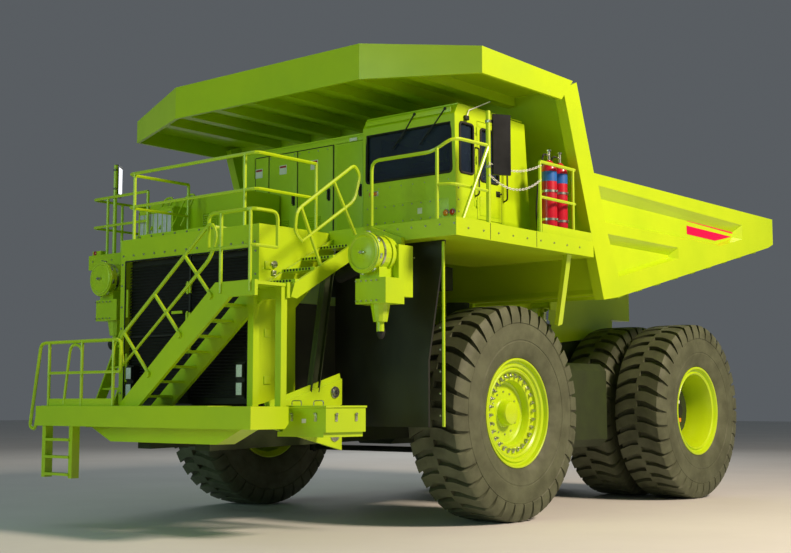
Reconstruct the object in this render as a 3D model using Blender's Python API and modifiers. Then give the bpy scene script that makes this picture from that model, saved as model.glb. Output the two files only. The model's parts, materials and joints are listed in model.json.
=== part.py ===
"""Mining dump truck: rigid two-axle hauler with a tipping body.

Metres, +Z up.  The truck faces -Y and its left side, with the cab, is +X.  Lengths along
Y are measured from the front axle; at the end everything hangs on one datum empty that
puts the origin on the ground in the middle of the truck's footprint.
"""
import math

import bmesh
import bpy
from mathutils import Matrix, Vector

# ---------------------------------------------------------------- driving dimensions
GAP = 0.0003            # joint gap between two pieces that are bolted together
CLEAR = 0.02            # running clearance between a moving piece and its neighbour

# wheels and axles
AXLE_Z = 1.52           # wheel centre above the ground
WHEELBASE = 5.75
TYRE_WIDTH = 0.94
TREAD_WIDTH = 0.80
BEAD_R = 0.76           # tyre's inner edge, on the rim's flange
RIM_R = 0.70
FRONT_WHEEL_X = 2.47    # middle of the front tyre
TWIN_OUTER_X = 2.33     # middle of the outer rear tyre
TWIN_SPACING = 1.08
KINGPIN_X = 1.80
STRUT_R = 0.17
STEER_ARM = 0.75        # kingpin to tie rod
TIE_ROD_Z = 0.93
TYRE_SIDES = 36

# chassis
RAIL_X = 0.58           # middle of a frame rail
RAIL_W = 0.28
RAIL_FRONT_Y = -3.84
RAIL_REAR_Y = 6.95
RAIL_DEPTH = 0.70
RAIL_FRONT_TOP = 1.75
RAIL_MID_TOP = 2.42     # where the rails have climbed, behind the engine
RAIL_REAR_TOP = 2.98

# front platform
BUMPER_HALF = 2.15
BUMPER_AHEAD = 0.14      # platform's front edge to the front stair
BUMPER_BEHIND = 0.20     # platform's rear edge to the radiator's face
BUMPER_Z = 1.35
BUMPER_H = 0.27
POST_R = 0.024          # handrail tube radius
RAIL_TOP = 0.87         # bumper handrail height over the platform
LADDER_LEFT_X = -1.35
LADDER_WIDTH = 0.69
LADDER_DROP = 0.70

# stairs
STAIR_WIDTH = 0.60      # between the outer faces of the stringers
STAIR_BEHIND = 0.09      # front stair to the radiator's face
STAIR_FOOT_X = -0.25
LANDING_X = 1.40
LANDING_LENGTH = 0.65
LANDING_Z = 3.14
STRINGER_W = 0.05
STRINGER_H = 0.19
RIGHT_STAIR_WIDTH = 0.45

# radiator
RAD_HALF = 1.40
RAD_FRONT_Y = -3.66
RAD_DEPTH = 0.67
RAD_TOP = 3.95
RAD_WALL = 0.10
HEADER_H = 0.30
TOP_PLATE_REAR_Y = -2.21

# decks
DECK_HALF = 3.56
DECK_TOP = 3.98
DECK_H = 0.23
DECK_LEFT_FRONT_Y = -2.35
DECK_RIGHT_FRONT_Y = -2.62
DECK_REAR_Y = 0.92
DECK_RAIL_H = 0.98
WALK_RAIL_H = 0.95       # handrail over the radiator's top

# cab
CAB_X = 1.325
CAB_WIDTH = 1.63
CAB_FRONT_Y = -1.55
CAB_LENGTH = 1.62
CAB_Z = 4.08
CAB_TOP = 5.66
CAB_WALL = 0.06
GLASS_T = 0.012
DOOR_FRONT_Y = -1.08
DOOR_WIDTH = 0.58
DOOR_SWING_GAP = 0.008

# deck furniture
CABINET_X = -1.05
CABINET_FRONT_Y = -1.40
CABINET_DEPTH = 0.90
CABINET_TOP = 5.50
GRID_TOP = 4.78
BOTTLE_R = 0.11
BOTTLE_H = 1.02
MIRROR_X = 3.52         # the post's middle
MIRROR_Y = -1.60
MIRROR_TOP = 5.46
MIRROR_W = 0.25
MIRROR_H = 0.80
RIGHT_MIRROR_X = -3.05
RIGHT_MIRROR_H = 0.50
RIGHT_MIRROR_Z = 4.92

# air cleaners
CLEANER_X = 2.65
CLEANER_FRONT_Y = -3.05
CLEANER_Z = 3.53
CLEANER_R = 0.235
CLEANER_LENGTH = 0.42

# battery box
BOX_X = 1.87
BOX_WIDTH = 0.73
BOX_BEHIND = 0.05        # gap between the landing's legs and the box
BOX_DEPTH = 0.74
BOX_Z = 1.27
BOX_H = 0.33
ARM_PAST_BOX = 0.44      # how far the arm beside the box reaches behind it
ARM_TOP = 1.98
ARM_LOW = 1.05

# guards and tanks
GUARD_Y = -2.04
GUARD_TOP_X = 3.15
GUARD_FOOT_X = 2.88
GUARD_FOOT_Z = 1.35
TANK_AHEAD = 2.15        # tank's rear end to the rear axle
TANK_BEHIND = 2.15       # front axle to the tank's front end
TANK_OUTER_X = 2.15
TANK_Z = 0.95
TANK_H = 1.35

# dump body
BODY_HALF = 3.53
SIDE_T = 0.13           # depth of the side's ribs
SHEET = 0.03            # body plate
BODY_TOP = 5.00
TAIL_Y = 7.25
FLOOR_FRONT_Y = 1.64
FLOOR_FRONT_Z = 3.22
FLOOR_REAR_Y = 7.04
FLOOR_REAR_Z = 4.46
POST_TOP_Y = 0.57       # rear edge of the slanted front post under the canopy
CANOPY_SIDE_TOP = 6.26
CANOPY_SIDE_BOTTOM = 5.94
LIP_Y = -2.305
LIP_HALF = 1.893
LIP_CORNER_Y = -1.737
LIP_BOTTOM = 6.013
LIP_TOP = 6.506
CANOPY_PLATE_Z = 6.17

# tipping gear
PIVOT_Y = 6.55
PIVOT_Z = 2.74
PIVOT_PIN_R = 0.09
HOIST_X = 0.93
HOIST_FOOT_AHEAD = 2.45  # lower pin to the rear axle
HOIST_FOOT_Z = 1.50
HOIST_HEAD_Y = 3.60
HOIST_HEAD_Z = 3.34
HOIST_R = 0.16
TUBE_WALL = 0.025
ROD_CLEAR = 0.006

# ---------------------------------------------------------------- scene set-up
for old in list(bpy.data.objects):
    bpy.data.objects.remove(old, do_unlink=True)

truck = bpy.data.collections.new("mining_dump_truck")
helpers = bpy.data.collections.new("joined_and_cut")
for group in (truck, helpers):
    bpy.context.scene.collection.children.link(group)

datum = bpy.data.objects.new("front_axle_datum", None)
truck.objects.link(datum)

LEFT, RIGHT = 1, -1


def paint(name, rgb, rough=0.5, metal=0.0):
    """A Principled material."""
    mat = bpy.data.materials.new(name)
    mat.use_nodes = True
    shader = mat.node_tree.nodes["Principled BSDF"]
    shader.inputs["Base Color"].default_value = (*rgb, 1.0)
    shader.inputs["Roughness"].default_value = rough
    shader.inputs["Metallic"].default_value = metal
    mat.diffuse_color = (*rgb, 1.0)
    return mat


LIME = paint("lime_paint", (0.40, 0.60, 0.02), 0.35)
BLACK = paint("black_paint", (0.012, 0.013, 0.012), 0.45)
DARK = paint("dark_steel", (0.03, 0.035, 0.03), 0.55, 0.4)
RUBBER = paint("tyre_rubber", (0.028, 0.028, 0.027), 0.8)
CHROME = paint("hard_chrome", (0.75, 0.75, 0.76), 0.12, 1.0)
GLASS = paint("tinted_glass", (0.02, 0.03, 0.06), 0.05)
RED = paint("red_bottle_paint", (0.62, 0.01, 0.06), 0.35)
CLOTH = paint("seat_cloth", (0.04, 0.04, 0.045), 0.9)


# ---------------------------------------------------------------- modelling helpers
def place(name, bm, matrix=None):
    """A mesh object made from a bmesh, waiting in the helpers' collection."""
    if matrix is not None:
        bmesh.ops.transform(bm, matrix=matrix, verts=bm.verts)
    bmesh.ops.remove_doubles(bm, verts=bm.verts, dist=1e-5)
    bmesh.ops.recalc_face_normals(bm, faces=bm.faces)
    mesh = bpy.data.meshes.new(name)
    bm.to_mesh(mesh)
    bm.free()
    obj = bpy.data.objects.new(name, mesh)
    helpers.objects.link(obj)
    obj.parent = datum
    return obj


def block(x, y, z, name="block"):
    """A box between two values on each axis."""
    size = Vector((x[1] - x[0], y[1] - y[0], z[1] - z[0]))
    middle = Vector(((x[0] + x[1]) / 2, (y[0] + y[1]) / 2, (z[0] + z[1]) / 2))
    bm = bmesh.new()
    bmesh.ops.create_cube(bm, size=1.0)
    return place(name, bm, Matrix.Translation(middle) @ Matrix.Diagonal((*size, 1.0)))


def frame_between(start, end, up=(0, 0, 1)):
    """A matrix at the middle of two points, its Z axis along them."""
    start, end = Vector(start), Vector(end)
    along = (end - start).normalized()
    side = Vector(up).cross(along)
    if side.length < 1e-6:
        side = Vector((1, 0, 0)).cross(along)
    side.normalize()
    out = along.cross(side)
    turn = Matrix((side, out, along)).transposed().to_4x4()
    return Matrix.Translation((start + end) / 2) @ turn, (end - start).length


def bar(start, end, radius, sides=12, radius_end=None, name="bar"):
    """A round bar, or a cone, between two points."""
    matrix, length = frame_between(start, end)
    bm = bmesh.new()
    top = radius if radius_end is None else radius_end
    bmesh.ops.create_cone(bm, cap_ends=True, segments=sides, radius1=radius,
                          radius2=top, depth=length)
    return place(name, bm, matrix)


def strut(start, end, width, height, up=(0, 0, 1), name="strut"):
    """A rectangular bar between two points, its height along up."""
    matrix, length = frame_between(start, end, up)
    bm = bmesh.new()
    bmesh.ops.create_cube(bm, size=1.0)
    return place(name, bm, matrix @ Matrix.Diagonal((width, height, length, 1.0)))


def curve_mesh(curve, matrix, name):
    """Turns a curve into a closed mesh piece and removes the curve."""
    holder = bpy.data.objects.new(name + "_curve", curve)
    helpers.objects.link(holder)
    bpy.context.view_layer.update()
    shown = holder.evaluated_get(bpy.context.evaluated_depsgraph_get())
    mesh = bpy.data.meshes.new_from_object(shown)
    bm = bmesh.new()
    bm.from_mesh(mesh)
    bpy.data.objects.remove(holder, do_unlink=True)
    bpy.data.meshes.remove(mesh)
    return place(name, bm, matrix)


PLANES = {
    "YZ": Matrix(((0, 0, 1), (1, 0, 0), (0, 1, 0))).to_4x4(),
    "XZ": Matrix(((1, 0, 0), (0, 0, -1), (0, 1, 0))).to_4x4(),
    "XY": Matrix.Identity(4),
}


def outline(points, plane, low, high, matrix=None, name="outline"):
    """A flat outline in a plane, extruded from low to high across it."""
    curve = bpy.data.curves.new(name, "CURVE")
    curve.dimensions = "2D"
    curve.fill_mode = "BOTH"
    curve.extrude = abs(high - low) / 2
    spline = curve.splines.new("POLY")
    spline.points.add(len(points) - 1)
    for point, (u, v) in zip(spline.points, points):
        point.co = (u, v, 0, 1)
    spline.use_cyclic_u = True
    across = (low + high) / 2
    shift = Vector((across, 0, 0)) if plane == "YZ" else (
        Vector((0, across, 0)) if plane == "XZ" else Vector((0, 0, across)))
    base = Matrix.Translation(shift) @ PLANES[plane]
    return curve_mesh(curve, base if matrix is None else matrix @ base, name)


def pipe(points, radius, closed=False, name="pipe"):
    """A round tube through points, with filled ends."""
    curve = bpy.data.curves.new(name, "CURVE")
    curve.dimensions = "3D"
    curve.bevel_depth = radius
    curve.bevel_resolution = 1
    curve.use_fill_caps = True
    spline = curve.splines.new("POLY")
    spline.points.add(len(points) - 1)
    for point, place_at in zip(spline.points, points):
        point.co = (*place_at, 1)
    spline.use_cyclic_u = closed
    return curve_mesh(curve, Matrix.Identity(4), name)


def rounded(points, radius, steps=3):
    """The same path with its inner corners rounded to a radius."""
    points = [Vector(p) for p in points]
    path = [points[0]]
    for before, corner, after in zip(points, points[1:], points[2:]):
        a, b = (before - corner), (after - corner)
        reach = min(radius, a.length * 0.45, b.length * 0.45)
        start, end = corner + a.normalized() * reach, corner + b.normalized() * reach
        for step in range(steps + 1):
            t = step / steps
            path.append(start * (1 - t) ** 2 + corner * 2 * t * (1 - t) + end * t ** 2)
    return path + [points[-1]]


def weld(name, material, pieces, cuts=()):
    """Joins pieces into one solid, takes the cutters away, and names the result."""
    body = pieces[0]
    body.name = name
    body.data.name = name
    helpers.objects.unlink(body)
    truck.objects.link(body)
    body.data.materials.clear()
    body.data.materials.append(material)
    for label, operation, tools in (("pieces", "UNION", pieces[1:]),
                                    ("cuts", "DIFFERENCE", cuts)):
        if not tools:
            continue
        box = bpy.data.collections.new(f"{name}_{label}")
        helpers.children.link(box)
        for tool in tools:
            helpers.objects.unlink(tool)
            box.objects.link(tool)
            tool.hide_render = True
            tool.display_type = "WIRE"
        boolean = body.modifiers.new(label, "BOOLEAN")
        boolean.operation = operation
        boolean.operand_type = "COLLECTION"
        boolean.collection = box
        boolean.solver = "EXACT"
    return body


def turned(name, material, profile, at, axis, sides, phase=0.0):
    """A solid of revolution about a line through at; profile is (distance along, radius)."""
    bm = bmesh.new()
    loop = [bm.verts.new((r, 0, along)) for along, r in profile]
    on_axis = profile[0][1] == 0.0
    for a, b in zip(loop, loop[1:] if on_axis else loop[1:] + loop[:1]):
        bm.edges.new((a, b))
    mesh = bpy.data.meshes.new(name)
    bm.to_mesh(mesh)
    bm.free()
    obj = bpy.data.objects.new(name, mesh)
    truck.objects.link(obj)
    mesh.materials.append(material)
    screw = obj.modifiers.new("turn", "SCREW")
    screw.steps = screw.render_steps = sides
    screw.use_merge_vertices = True
    screw.merge_threshold = 0.0001
    screw.use_smooth_shade = True
    spin = Matrix.Rotation(phase, 4, "Z")
    obj.matrix_world = (Matrix.Translation(at)
                        @ Vector((0, 0, 1)).rotation_difference(Vector(axis)).to_matrix().to_4x4()
                        @ spin)
    obj.parent = datum
    return obj


def pivot(name, at, parent=None):
    """An empty on a joint's axis that carries a moving body."""
    empty = bpy.data.objects.new(name, None)
    truck.objects.link(empty)
    if parent is None:
        empty.parent = datum
        empty.location = at
    else:
        empty.parent = parent
        empty.location = Vector(at) - parent_place(parent)
    return empty


def parent_place(empty):
    """Where an empty stands, measured from the datum."""
    spot = Vector(empty.location)
    while empty.parent is not None and empty.parent is not datum:
        empty = empty.parent
        spot += empty.location
    return spot


def carry(empty, *objects):
    """Hangs finished pieces on a pivot without moving them."""
    for obj in objects:
        obj.parent = empty
        obj.matrix_parent_inverse = Matrix.Translation(-parent_place(empty))
        for modifier in obj.modifiers:
            if modifier.type == "BOOLEAN":
                for tool in modifier.collection.objects:
                    tool.parent = empty
                    tool.matrix_parent_inverse = Matrix.Translation(-parent_place(empty))


# ---------------------------------------------------------------- chassis frame
stair_back_y = RAD_FRONT_Y - STAIR_BEHIND
stair_front_y = stair_back_y - STAIR_WIDTH
bumper_front_y = stair_front_y - BUMPER_AHEAD
bumper_rear_y = RAD_FRONT_Y - BUMPER_BEHIND
rail_in, rail_out = RAIL_X - RAIL_W / 2, RAIL_X + RAIL_W / 2
climb_start_y, climb_end_y = 0.85, 1.75
arch_y = WHEELBASE - 1.6
arch_z = AXLE_Z + 0.62


def rail_top(y):
    """Height of the frame rails' top edge behind the climb."""
    share = (y - climb_end_y) / (RAIL_REAR_Y - climb_end_y)
    return RAIL_MID_TOP + (RAIL_REAR_TOP - RAIL_MID_TOP) * share


nose_top = BUMPER_Z + BUMPER_H - 0.02
nose_rear_y = RAD_FRONT_Y + RAD_DEPTH + 0.05
rail_line = [
    (nose_rear_y + 0.15, RAIL_FRONT_TOP), (nose_rear_y, nose_top),
    (RAIL_FRONT_Y, nose_top), (RAIL_FRONT_Y, RAIL_FRONT_TOP - RAIL_DEPTH),
    (climb_end_y, RAIL_FRONT_TOP - RAIL_DEPTH + 0.12), (arch_y - 0.4, rail_top(arch_y) - 1.0),
    (arch_y + 0.55, arch_z), (RAIL_REAR_Y, arch_z + 0.12), (RAIL_REAR_Y, RAIL_REAR_TOP),
    (climb_end_y, RAIL_MID_TOP), (climb_start_y, RAIL_FRONT_TOP),
]
hoist_foot_y = WHEELBASE - HOIST_FOOT_AHEAD
tank_length = WHEELBASE - TANK_AHEAD - TANK_BEHIND
collar_y = (0.42, 0.74)
collar_half = 1.15
frame_pieces = [outline(rail_line, "YZ", side * rail_in, side * rail_out)
                for side in (LEFT, RIGHT)]
frame_pieces += [
    bar((-rail_out + 0.02, y, z), (rail_out - 0.02, y, z), r, 16)
    for y, z, r in ((RAIL_FRONT_Y + 0.35, RAIL_FRONT_TOP - 0.32, 0.14),
                    (climb_end_y + 0.25, RAIL_MID_TOP - 0.45, 0.20),
                    (arch_y - 0.35, rail_top(arch_y) - 0.45, 0.16))
]
frame_pieces += [
    block((side * rail_in + 0.01, side * rail_out - 0.01) if side > 0
          else (side * rail_out + 0.01, side * rail_in - 0.01),
          collar_y, (RAIL_FRONT_TOP - 0.2, DECK_TOP - DECK_H - GAP))
    for side in (LEFT, RIGHT)
]
frame_pieces.append(block((-collar_half, collar_half), (collar_y[0] + 0.01, collar_y[1] - 0.01),
                          (DECK_TOP - DECK_H - 0.36, DECK_TOP - DECK_H - GAP - 0.002)))
# ears for the tipping pivot, outside which the body's eyes turn
frame_pieces.append(bar((-rail_out - 0.03, PIVOT_Y, PIVOT_Z), (rail_out + 0.03, PIVOT_Y, PIVOT_Z),
                        PIVOT_PIN_R, 16))
# brackets for the hoists' lower pins
for side in (LEFT, RIGHT):
    frame_pieces.append(bar((side * (rail_in + 0.05), hoist_foot_y, HOIST_FOOT_Z),
                            (side * (HOIST_X + 0.13), hoist_foot_y, HOIST_FOOT_Z), 0.055, 12))
    frame_pieces.append(block(sorted((side * (rail_in + 0.02), side * (rail_out - 0.02))),
                              (hoist_foot_y - 0.17, hoist_foot_y + 0.17),
                              (HOIST_FOOT_Z - 0.14, HOIST_FOOT_Z + 0.5)))
chassis = weld("chassis_frame", LIME, frame_pieces)

# ---------------------------------------------------------------- front platform
platform_z = BUMPER_Z + BUMPER_H
box_front_y = stair_back_y + BOX_BEHIND
corner = 0.06
beam_side = [(bumper_front_y, BUMPER_Z), (bumper_rear_y - corner, BUMPER_Z),
             (bumper_rear_y, BUMPER_Z + corner), (bumper_rear_y, platform_z),
             (bumper_front_y, platform_z)]
ladder_right_x = LADDER_LEFT_X - LADDER_WIDTH
ladder_y = bumper_front_y + 0.10
foot_z = BUMPER_Z - LADDER_DROP
bumper_pieces = [outline(beam_side, "YZ", -BUMPER_HALF, BUMPER_HALF)]
bumper_pieces.append(outline([(-1.35, BUMPER_Z + 0.02), (1.75, BUMPER_Z + 0.02),
                              (1.25, BUMPER_Z - 0.20), (-0.85, BUMPER_Z - 0.20)],
                             "XZ", bumper_rear_y - 0.34, bumper_rear_y - 0.04))
for x in (LADDER_LEFT_X - 0.04, ladder_right_x + 0.04):
    bumper_pieces.append(block((x - 0.04, x + 0.04), (ladder_y - 0.06, ladder_y + 0.06),
                               (foot_z, BUMPER_Z + 0.05)))
for step in range(3):
    z = foot_z + 0.03 + step * LADDER_DROP / 3
    bumper_pieces.append(block((ladder_right_x + 0.06, LADDER_LEFT_X - 0.06),
                               (ladder_y - 0.08, ladder_y + 0.04), (z, z + 0.035)))
# arms that carry the battery box behind the platform's left end
arm_in = BOX_X - 0.07
arm_rear_y = box_front_y + BOX_DEPTH + ARM_PAST_BOX
bumper_pieces.append(outline([(bumper_rear_y - 0.05, platform_z - 0.03), (arm_rear_y, ARM_TOP),
                              (arm_rear_y, ARM_TOP - 0.34), (arm_rear_y - 0.22, ARM_TOP - 0.40),
                              (arm_rear_y - 0.22, ARM_LOW + 0.34), (arm_rear_y, ARM_LOW + 0.30),
                              (arm_rear_y, ARM_LOW), (bumper_rear_y - 0.05, BUMPER_Z + 0.03)],
                             "YZ", arm_in - 0.05, arm_in))
bumper_pieces.append(block((arm_in - 0.02, BOX_X + BOX_WIDTH - 0.04),
                           (box_front_y + 0.02, box_front_y + BOX_DEPTH - 0.01),
                           (BOX_Z - 0.02, BOX_Z + 0.04 - GAP)))
weld("front_bumper", LIME, bumper_pieces)

rail_y = bumper_front_y + 0.05
rail_base = platform_z + GAP
rail_hi = platform_z + RAIL_TOP
hand_x = [-0.51, -1.19, -1.93]
handrail = [pipe(rounded([(-0.36, rail_y, rail_hi - 0.42), (-0.36, rail_y, rail_hi),
                          (-BUMPER_HALF + 0.02, rail_y, rail_hi),
                          (-BUMPER_HALF - 0.20, rail_y, BUMPER_Z - 0.02),
                          (-BUMPER_HALF - 0.08, rail_y, BUMPER_Z - 0.06),
                          (-BUMPER_HALF - 0.03, rail_y, BUMPER_Z + 0.14)], 0.09), POST_R)]
handrail.append(pipe([(-0.36, rail_y, rail_hi - 0.42), (-1.93, rail_y, rail_hi - 0.42)],
                     POST_R * 0.9))
handrail += [bar((x, rail_y, rail_base), (x, rail_y, rail_hi), POST_R * 0.95, 8)
             for x in hand_x]
hoop = [(-1.58, rail_base + 0.02), (-1.45, rail_hi - 0.03), (hand_x[1], rail_hi - 0.06), (hand_x[1], rail_hi - 0.40)]
handrail.append(pipe(rounded([(x, rail_y, z) for x, z in hoop], 0.12), POST_R * 0.9))
handrail.append(block((-1.95, -0.49), (rail_y - 0.006, rail_y + 0.006),
                      (rail_base, rail_base + 0.10)))
weld("bumper_handrail", LIME, handrail)

# ---------------------------------------------------------------- front stair
stair_rise = LANDING_Z - platform_z
foot_x = STAIR_FOOT_X - 0.27
head_x = LANDING_X - 0.05


def stair_line(z):
    """X of the stringer's upper edge at a height."""
    return foot_x + (head_x - foot_x) * (z - platform_z) / stair_rise


slope_w = 0.42          # horizontal width of a stringer
stair = []
for y in (stair_front_y, stair_back_y - STRINGER_W):
    stair.append(outline([(foot_x, platform_z + GAP), (foot_x + slope_w, platform_z + GAP),
                          (head_x + slope_w * 0.62, LANDING_Z - STRINGER_H),
                          (LANDING_X + LANDING_LENGTH, LANDING_Z - STRINGER_H),
                          (LANDING_X + LANDING_LENGTH, LANDING_Z),
                          (head_x, LANDING_Z)], "XZ", y, y + STRINGER_W))
steps = 8
for step in range(steps):
    z = platform_z + stair_rise * (step + 0.75) / steps
    x = stair_line(z) + 0.03
    stair.append(block((x, x + 0.24), (stair_front_y + 0.02, stair_back_y - 0.02),
                       (z - 0.03, z)))
stair.append(block((LANDING_X - 0.02, LANDING_X + LANDING_LENGTH - 0.02),
                   (stair_front_y + 0.02, stair_back_y - 0.02), (LANDING_Z - 0.05, LANDING_Z - 0.01)))
# landing legs down to the platform
for x in (LANDING_X + 0.08, LANDING_X + LANDING_LENGTH - 0.08):
    stair.append(block((x - 0.05, x + 0.05), (stair_back_y - 0.12, stair_back_y - 0.02),
                       (platform_z + GAP, LANDING_Z - 0.02)))
hand_y = stair_front_y - POST_R * 0.2


def on_stair(x, up):
    """A point in the handrail's plane, at a height over the front stringer's upper edge."""
    return (x, hand_y, platform_z + stair_rise * (x - foot_x) / (head_x - foot_x) + up)


rail_foot_x, rail_head_x = foot_x + 0.03, head_x - 0.08
stair_rail = [pipe(rounded([on_stair(rail_foot_x + 0.08, 0.45), on_stair(rail_foot_x, 0.87),
                            on_stair(rail_head_x, 0.83), on_stair(rail_head_x + 0.10, 0.58),
                            on_stair(rail_head_x, 0.38), on_stair(rail_foot_x + 0.08, 0.45)],
                           0.12, 3)[:-1], POST_R, closed=True)]
for share in (0.33, 0.65, 0.955):
    x = foot_x + (head_x - foot_x) * share
    stair_rail.append(bar(on_stair(x, -0.07), on_stair(x - 0.50, 0.86), POST_R * 0.95, 8))
    boss = Vector(on_stair(x, -0.09))
    stair_rail.append(bar(boss + Vector((0, -0.03, 0)), boss + Vector((0, 0.03, 0)), 0.045, 10))

# landing rail
land_rail = [pipe(rounded([(LANDING_X - 0.18, hand_y, LANDING_Z + 0.42),
                           (LANDING_X - 0.18, hand_y, LANDING_Z + 0.86),
                           (LANDING_X + LANDING_LENGTH - 0.02, hand_y, LANDING_Z + 0.86),
                           (LANDING_X + LANDING_LENGTH - 0.02, hand_y + 0.40, LANDING_Z + 0.86),
                           (LANDING_X + LANDING_LENGTH - 0.02, hand_y + 0.40, LANDING_Z + 0.42)],
                          0.10), POST_R),
             pipe(rounded([(LANDING_X - 0.18, hand_y, LANDING_Z + 0.42),
                           (LANDING_X + LANDING_LENGTH - 0.02, hand_y, LANDING_Z + 0.42),
                           (LANDING_X + LANDING_LENGTH - 0.02, hand_y + 0.40, LANDING_Z + 0.42)],
                          0.10), POST_R * 0.9)]
for x in (LANDING_X + 0.05, LANDING_X + LANDING_LENGTH - 0.08):
    land_rail.append(bar((x, hand_y, LANDING_Z - 0.14), (x, hand_y, LANDING_Z + 0.86),
                         POST_R * 0.95, 8))
weld("front_stair", LIME, stair + stair_rail + land_rail)

# ---------------------------------------------------------------- upper flight to the deck
flight_x = LANDING_X + LANDING_LENGTH
flight_w = 0.62
flight_low = (stair_back_y + 0.02, LANDING_Z)
flight_high = (DECK_LEFT_FRONT_Y - GAP, DECK_TOP - 0.12)
upper = []
for x in (flight_x - STRINGER_W, flight_x - flight_w):
    upper.append(outline([(flight_low[0], flight_low[1] - 0.17), (flight_low[0] + 0.10, flight_low[1] - 0.19),
                          (flight_high[0], flight_high[1] - 0.20), (flight_high[0], flight_high[1]),
                          (flight_low[0] + 0.06, flight_low[1])],
                         "YZ", x, x + STRINGER_W))
for step in range(4):
    share = (step + 0.6) / 4
    y = flight_low[0] + (flight_high[0] - flight_low[0]) * share
    z = flight_low[1] + (flight_high[1] - flight_low[1]) * share
    upper.append(block((flight_x - flight_w + 0.02, flight_x - 0.02), (y - 0.12, y + 0.10),
                       (z - 0.09, z - 0.05)))
loop_x = flight_x - STRINGER_W / 2


def on_flight(share, up):
    """A point over the outer stringer of the upper flight."""
    return (loop_x, flight_low[0] + (flight_high[0] - flight_low[0]) * share,
            flight_low[1] + (flight_high[1] - flight_low[1]) * share + up)


upper.append(pipe(rounded([on_flight(0.15, 0.43), on_flight(0.06, 0.60), on_flight(0.08, 0.86),
                           on_flight(0.86, 1.03), on_flight(0.94, 0.85), on_flight(0.86, 0.55),
                           on_flight(0.15, 0.43)], 0.10, 3)[:-1], POST_R, closed=True))
for foot, head in ((0.41, 0.13), (0.93, 0.57)):
    upper.append(bar(on_flight(foot, -0.06), on_flight(head, 0.87 + 0.17 * head), POST_R * 0.95, 8))
weld("upper_stair", LIME, upper)

# ---------------------------------------------------------------- right stair to the right deck
right_w = RIGHT_STAIR_WIDTH
right_x = -RAD_HALF - CLEAR - 0.01 - right_w
right_foot = (bumper_rear_y + 0.01, platform_z - 0.30)
right_head = (DECK_RIGHT_FRONT_Y - 0.16, DECK_TOP - 0.04)
right_stair = []
for x in (right_x, right_x + right_w - 0.03):
    right_stair.append(outline([right_foot, (right_foot[0] + 0.15, right_foot[1]),
                                (DECK_RIGHT_FRONT_Y - GAP, right_head[1] - 0.16),
                                (DECK_RIGHT_FRONT_Y - GAP, right_head[1]), right_head],
                               "YZ", x, x + 0.03))
for step in range(8):
    share = (step + 0.8) / 8.5
    y = right_foot[0] + 0.03 + (right_head[0] - right_foot[0]) * share
    z = right_foot[1] + (right_head[1] - right_foot[1]) * share
    right_stair.append(block((right_x + 0.01, right_x + right_w - 0.01), (y, y + 0.11),
                             (z - 0.03, z)))
weld("right_stair", LIME, right_stair)

# ---------------------------------------------------------------- radiator
rad_rear_y = RAD_FRONT_Y + RAD_DEPTH
opening_top = RAD_TOP - HEADER_H
rad = [outline([(RAD_FRONT_Y, platform_z + 0.02), (rad_rear_y, platform_z + 0.14),
                (rad_rear_y, opening_top - 0.75), (TOP_PLATE_REAR_Y - 0.10, RAD_TOP - 0.42),
                (TOP_PLATE_REAR_Y, RAD_TOP - 0.12), (TOP_PLATE_REAR_Y, RAD_TOP),
                (RAD_FRONT_Y, RAD_TOP)], "YZ", -RAD_HALF, RAD_HALF)]
rad_cuts = [block((-RAD_HALF + RAD_WALL, RAD_HALF - RAD_WALL - 0.08), (RAD_FRONT_Y - 0.1, -1.9),
                  (platform_z - 0.2, opening_top))]
weld("radiator_housing", LIME, rad, rad_cuts)
weld("radiator_core", BLACK, [
    block((-RAD_HALF + RAD_WALL + 0.004, RAD_HALF - RAD_WALL - 0.084),
          (RAD_FRONT_Y + 0.12, RAD_FRONT_Y + 0.42), (platform_z + 0.03, opening_top - 0.004)),
    block((-1.19, -1.05), (RAD_FRONT_Y - 0.02, RAD_FRONT_Y + 0.2), (platform_z + 0.10, platform_z + 0.56)),
    block((1.04, 1.18), (RAD_FRONT_Y - 0.02, RAD_FRONT_Y + 0.2), (platform_z + 0.10, platform_z + 0.56)),
])
weld("engine", DARK, [
    block((-0.66, 0.66), (rad_rear_y + 0.25, -0.45), (RAIL_FRONT_TOP + 0.02, 3.05)),
])

# ---------------------------------------------------------------- decks
deck_low = DECK_TOP - DECK_H
left_deck = [block((RAD_HALF + GAP, DECK_HALF), (DECK_LEFT_FRONT_Y, DECK_REAR_Y), (deck_low, DECK_TOP))]
edge = DECK_HALF - POST_R
deck_rail_z = DECK_TOP + DECK_RAIL_H


fence_rear_y = 0.47


def fence(points, posts, base, low_share=0.5):
    """Handrail parts: a top rail, a middle rail and posts on a deck."""
    made = [pipe(rounded(points, 0.10), POST_R)]
    drop = (points[0][2] - base) * (1 - low_share)
    made.append(pipe(rounded([(x, y, z - drop) for x, y, z in points], 0.10), POST_R * 0.9))
    for x, y in posts:
        made.append(bar((x, y, base - 0.10), (x, y, points[0][2]), POST_R * 0.95, 8))
    return made


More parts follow.
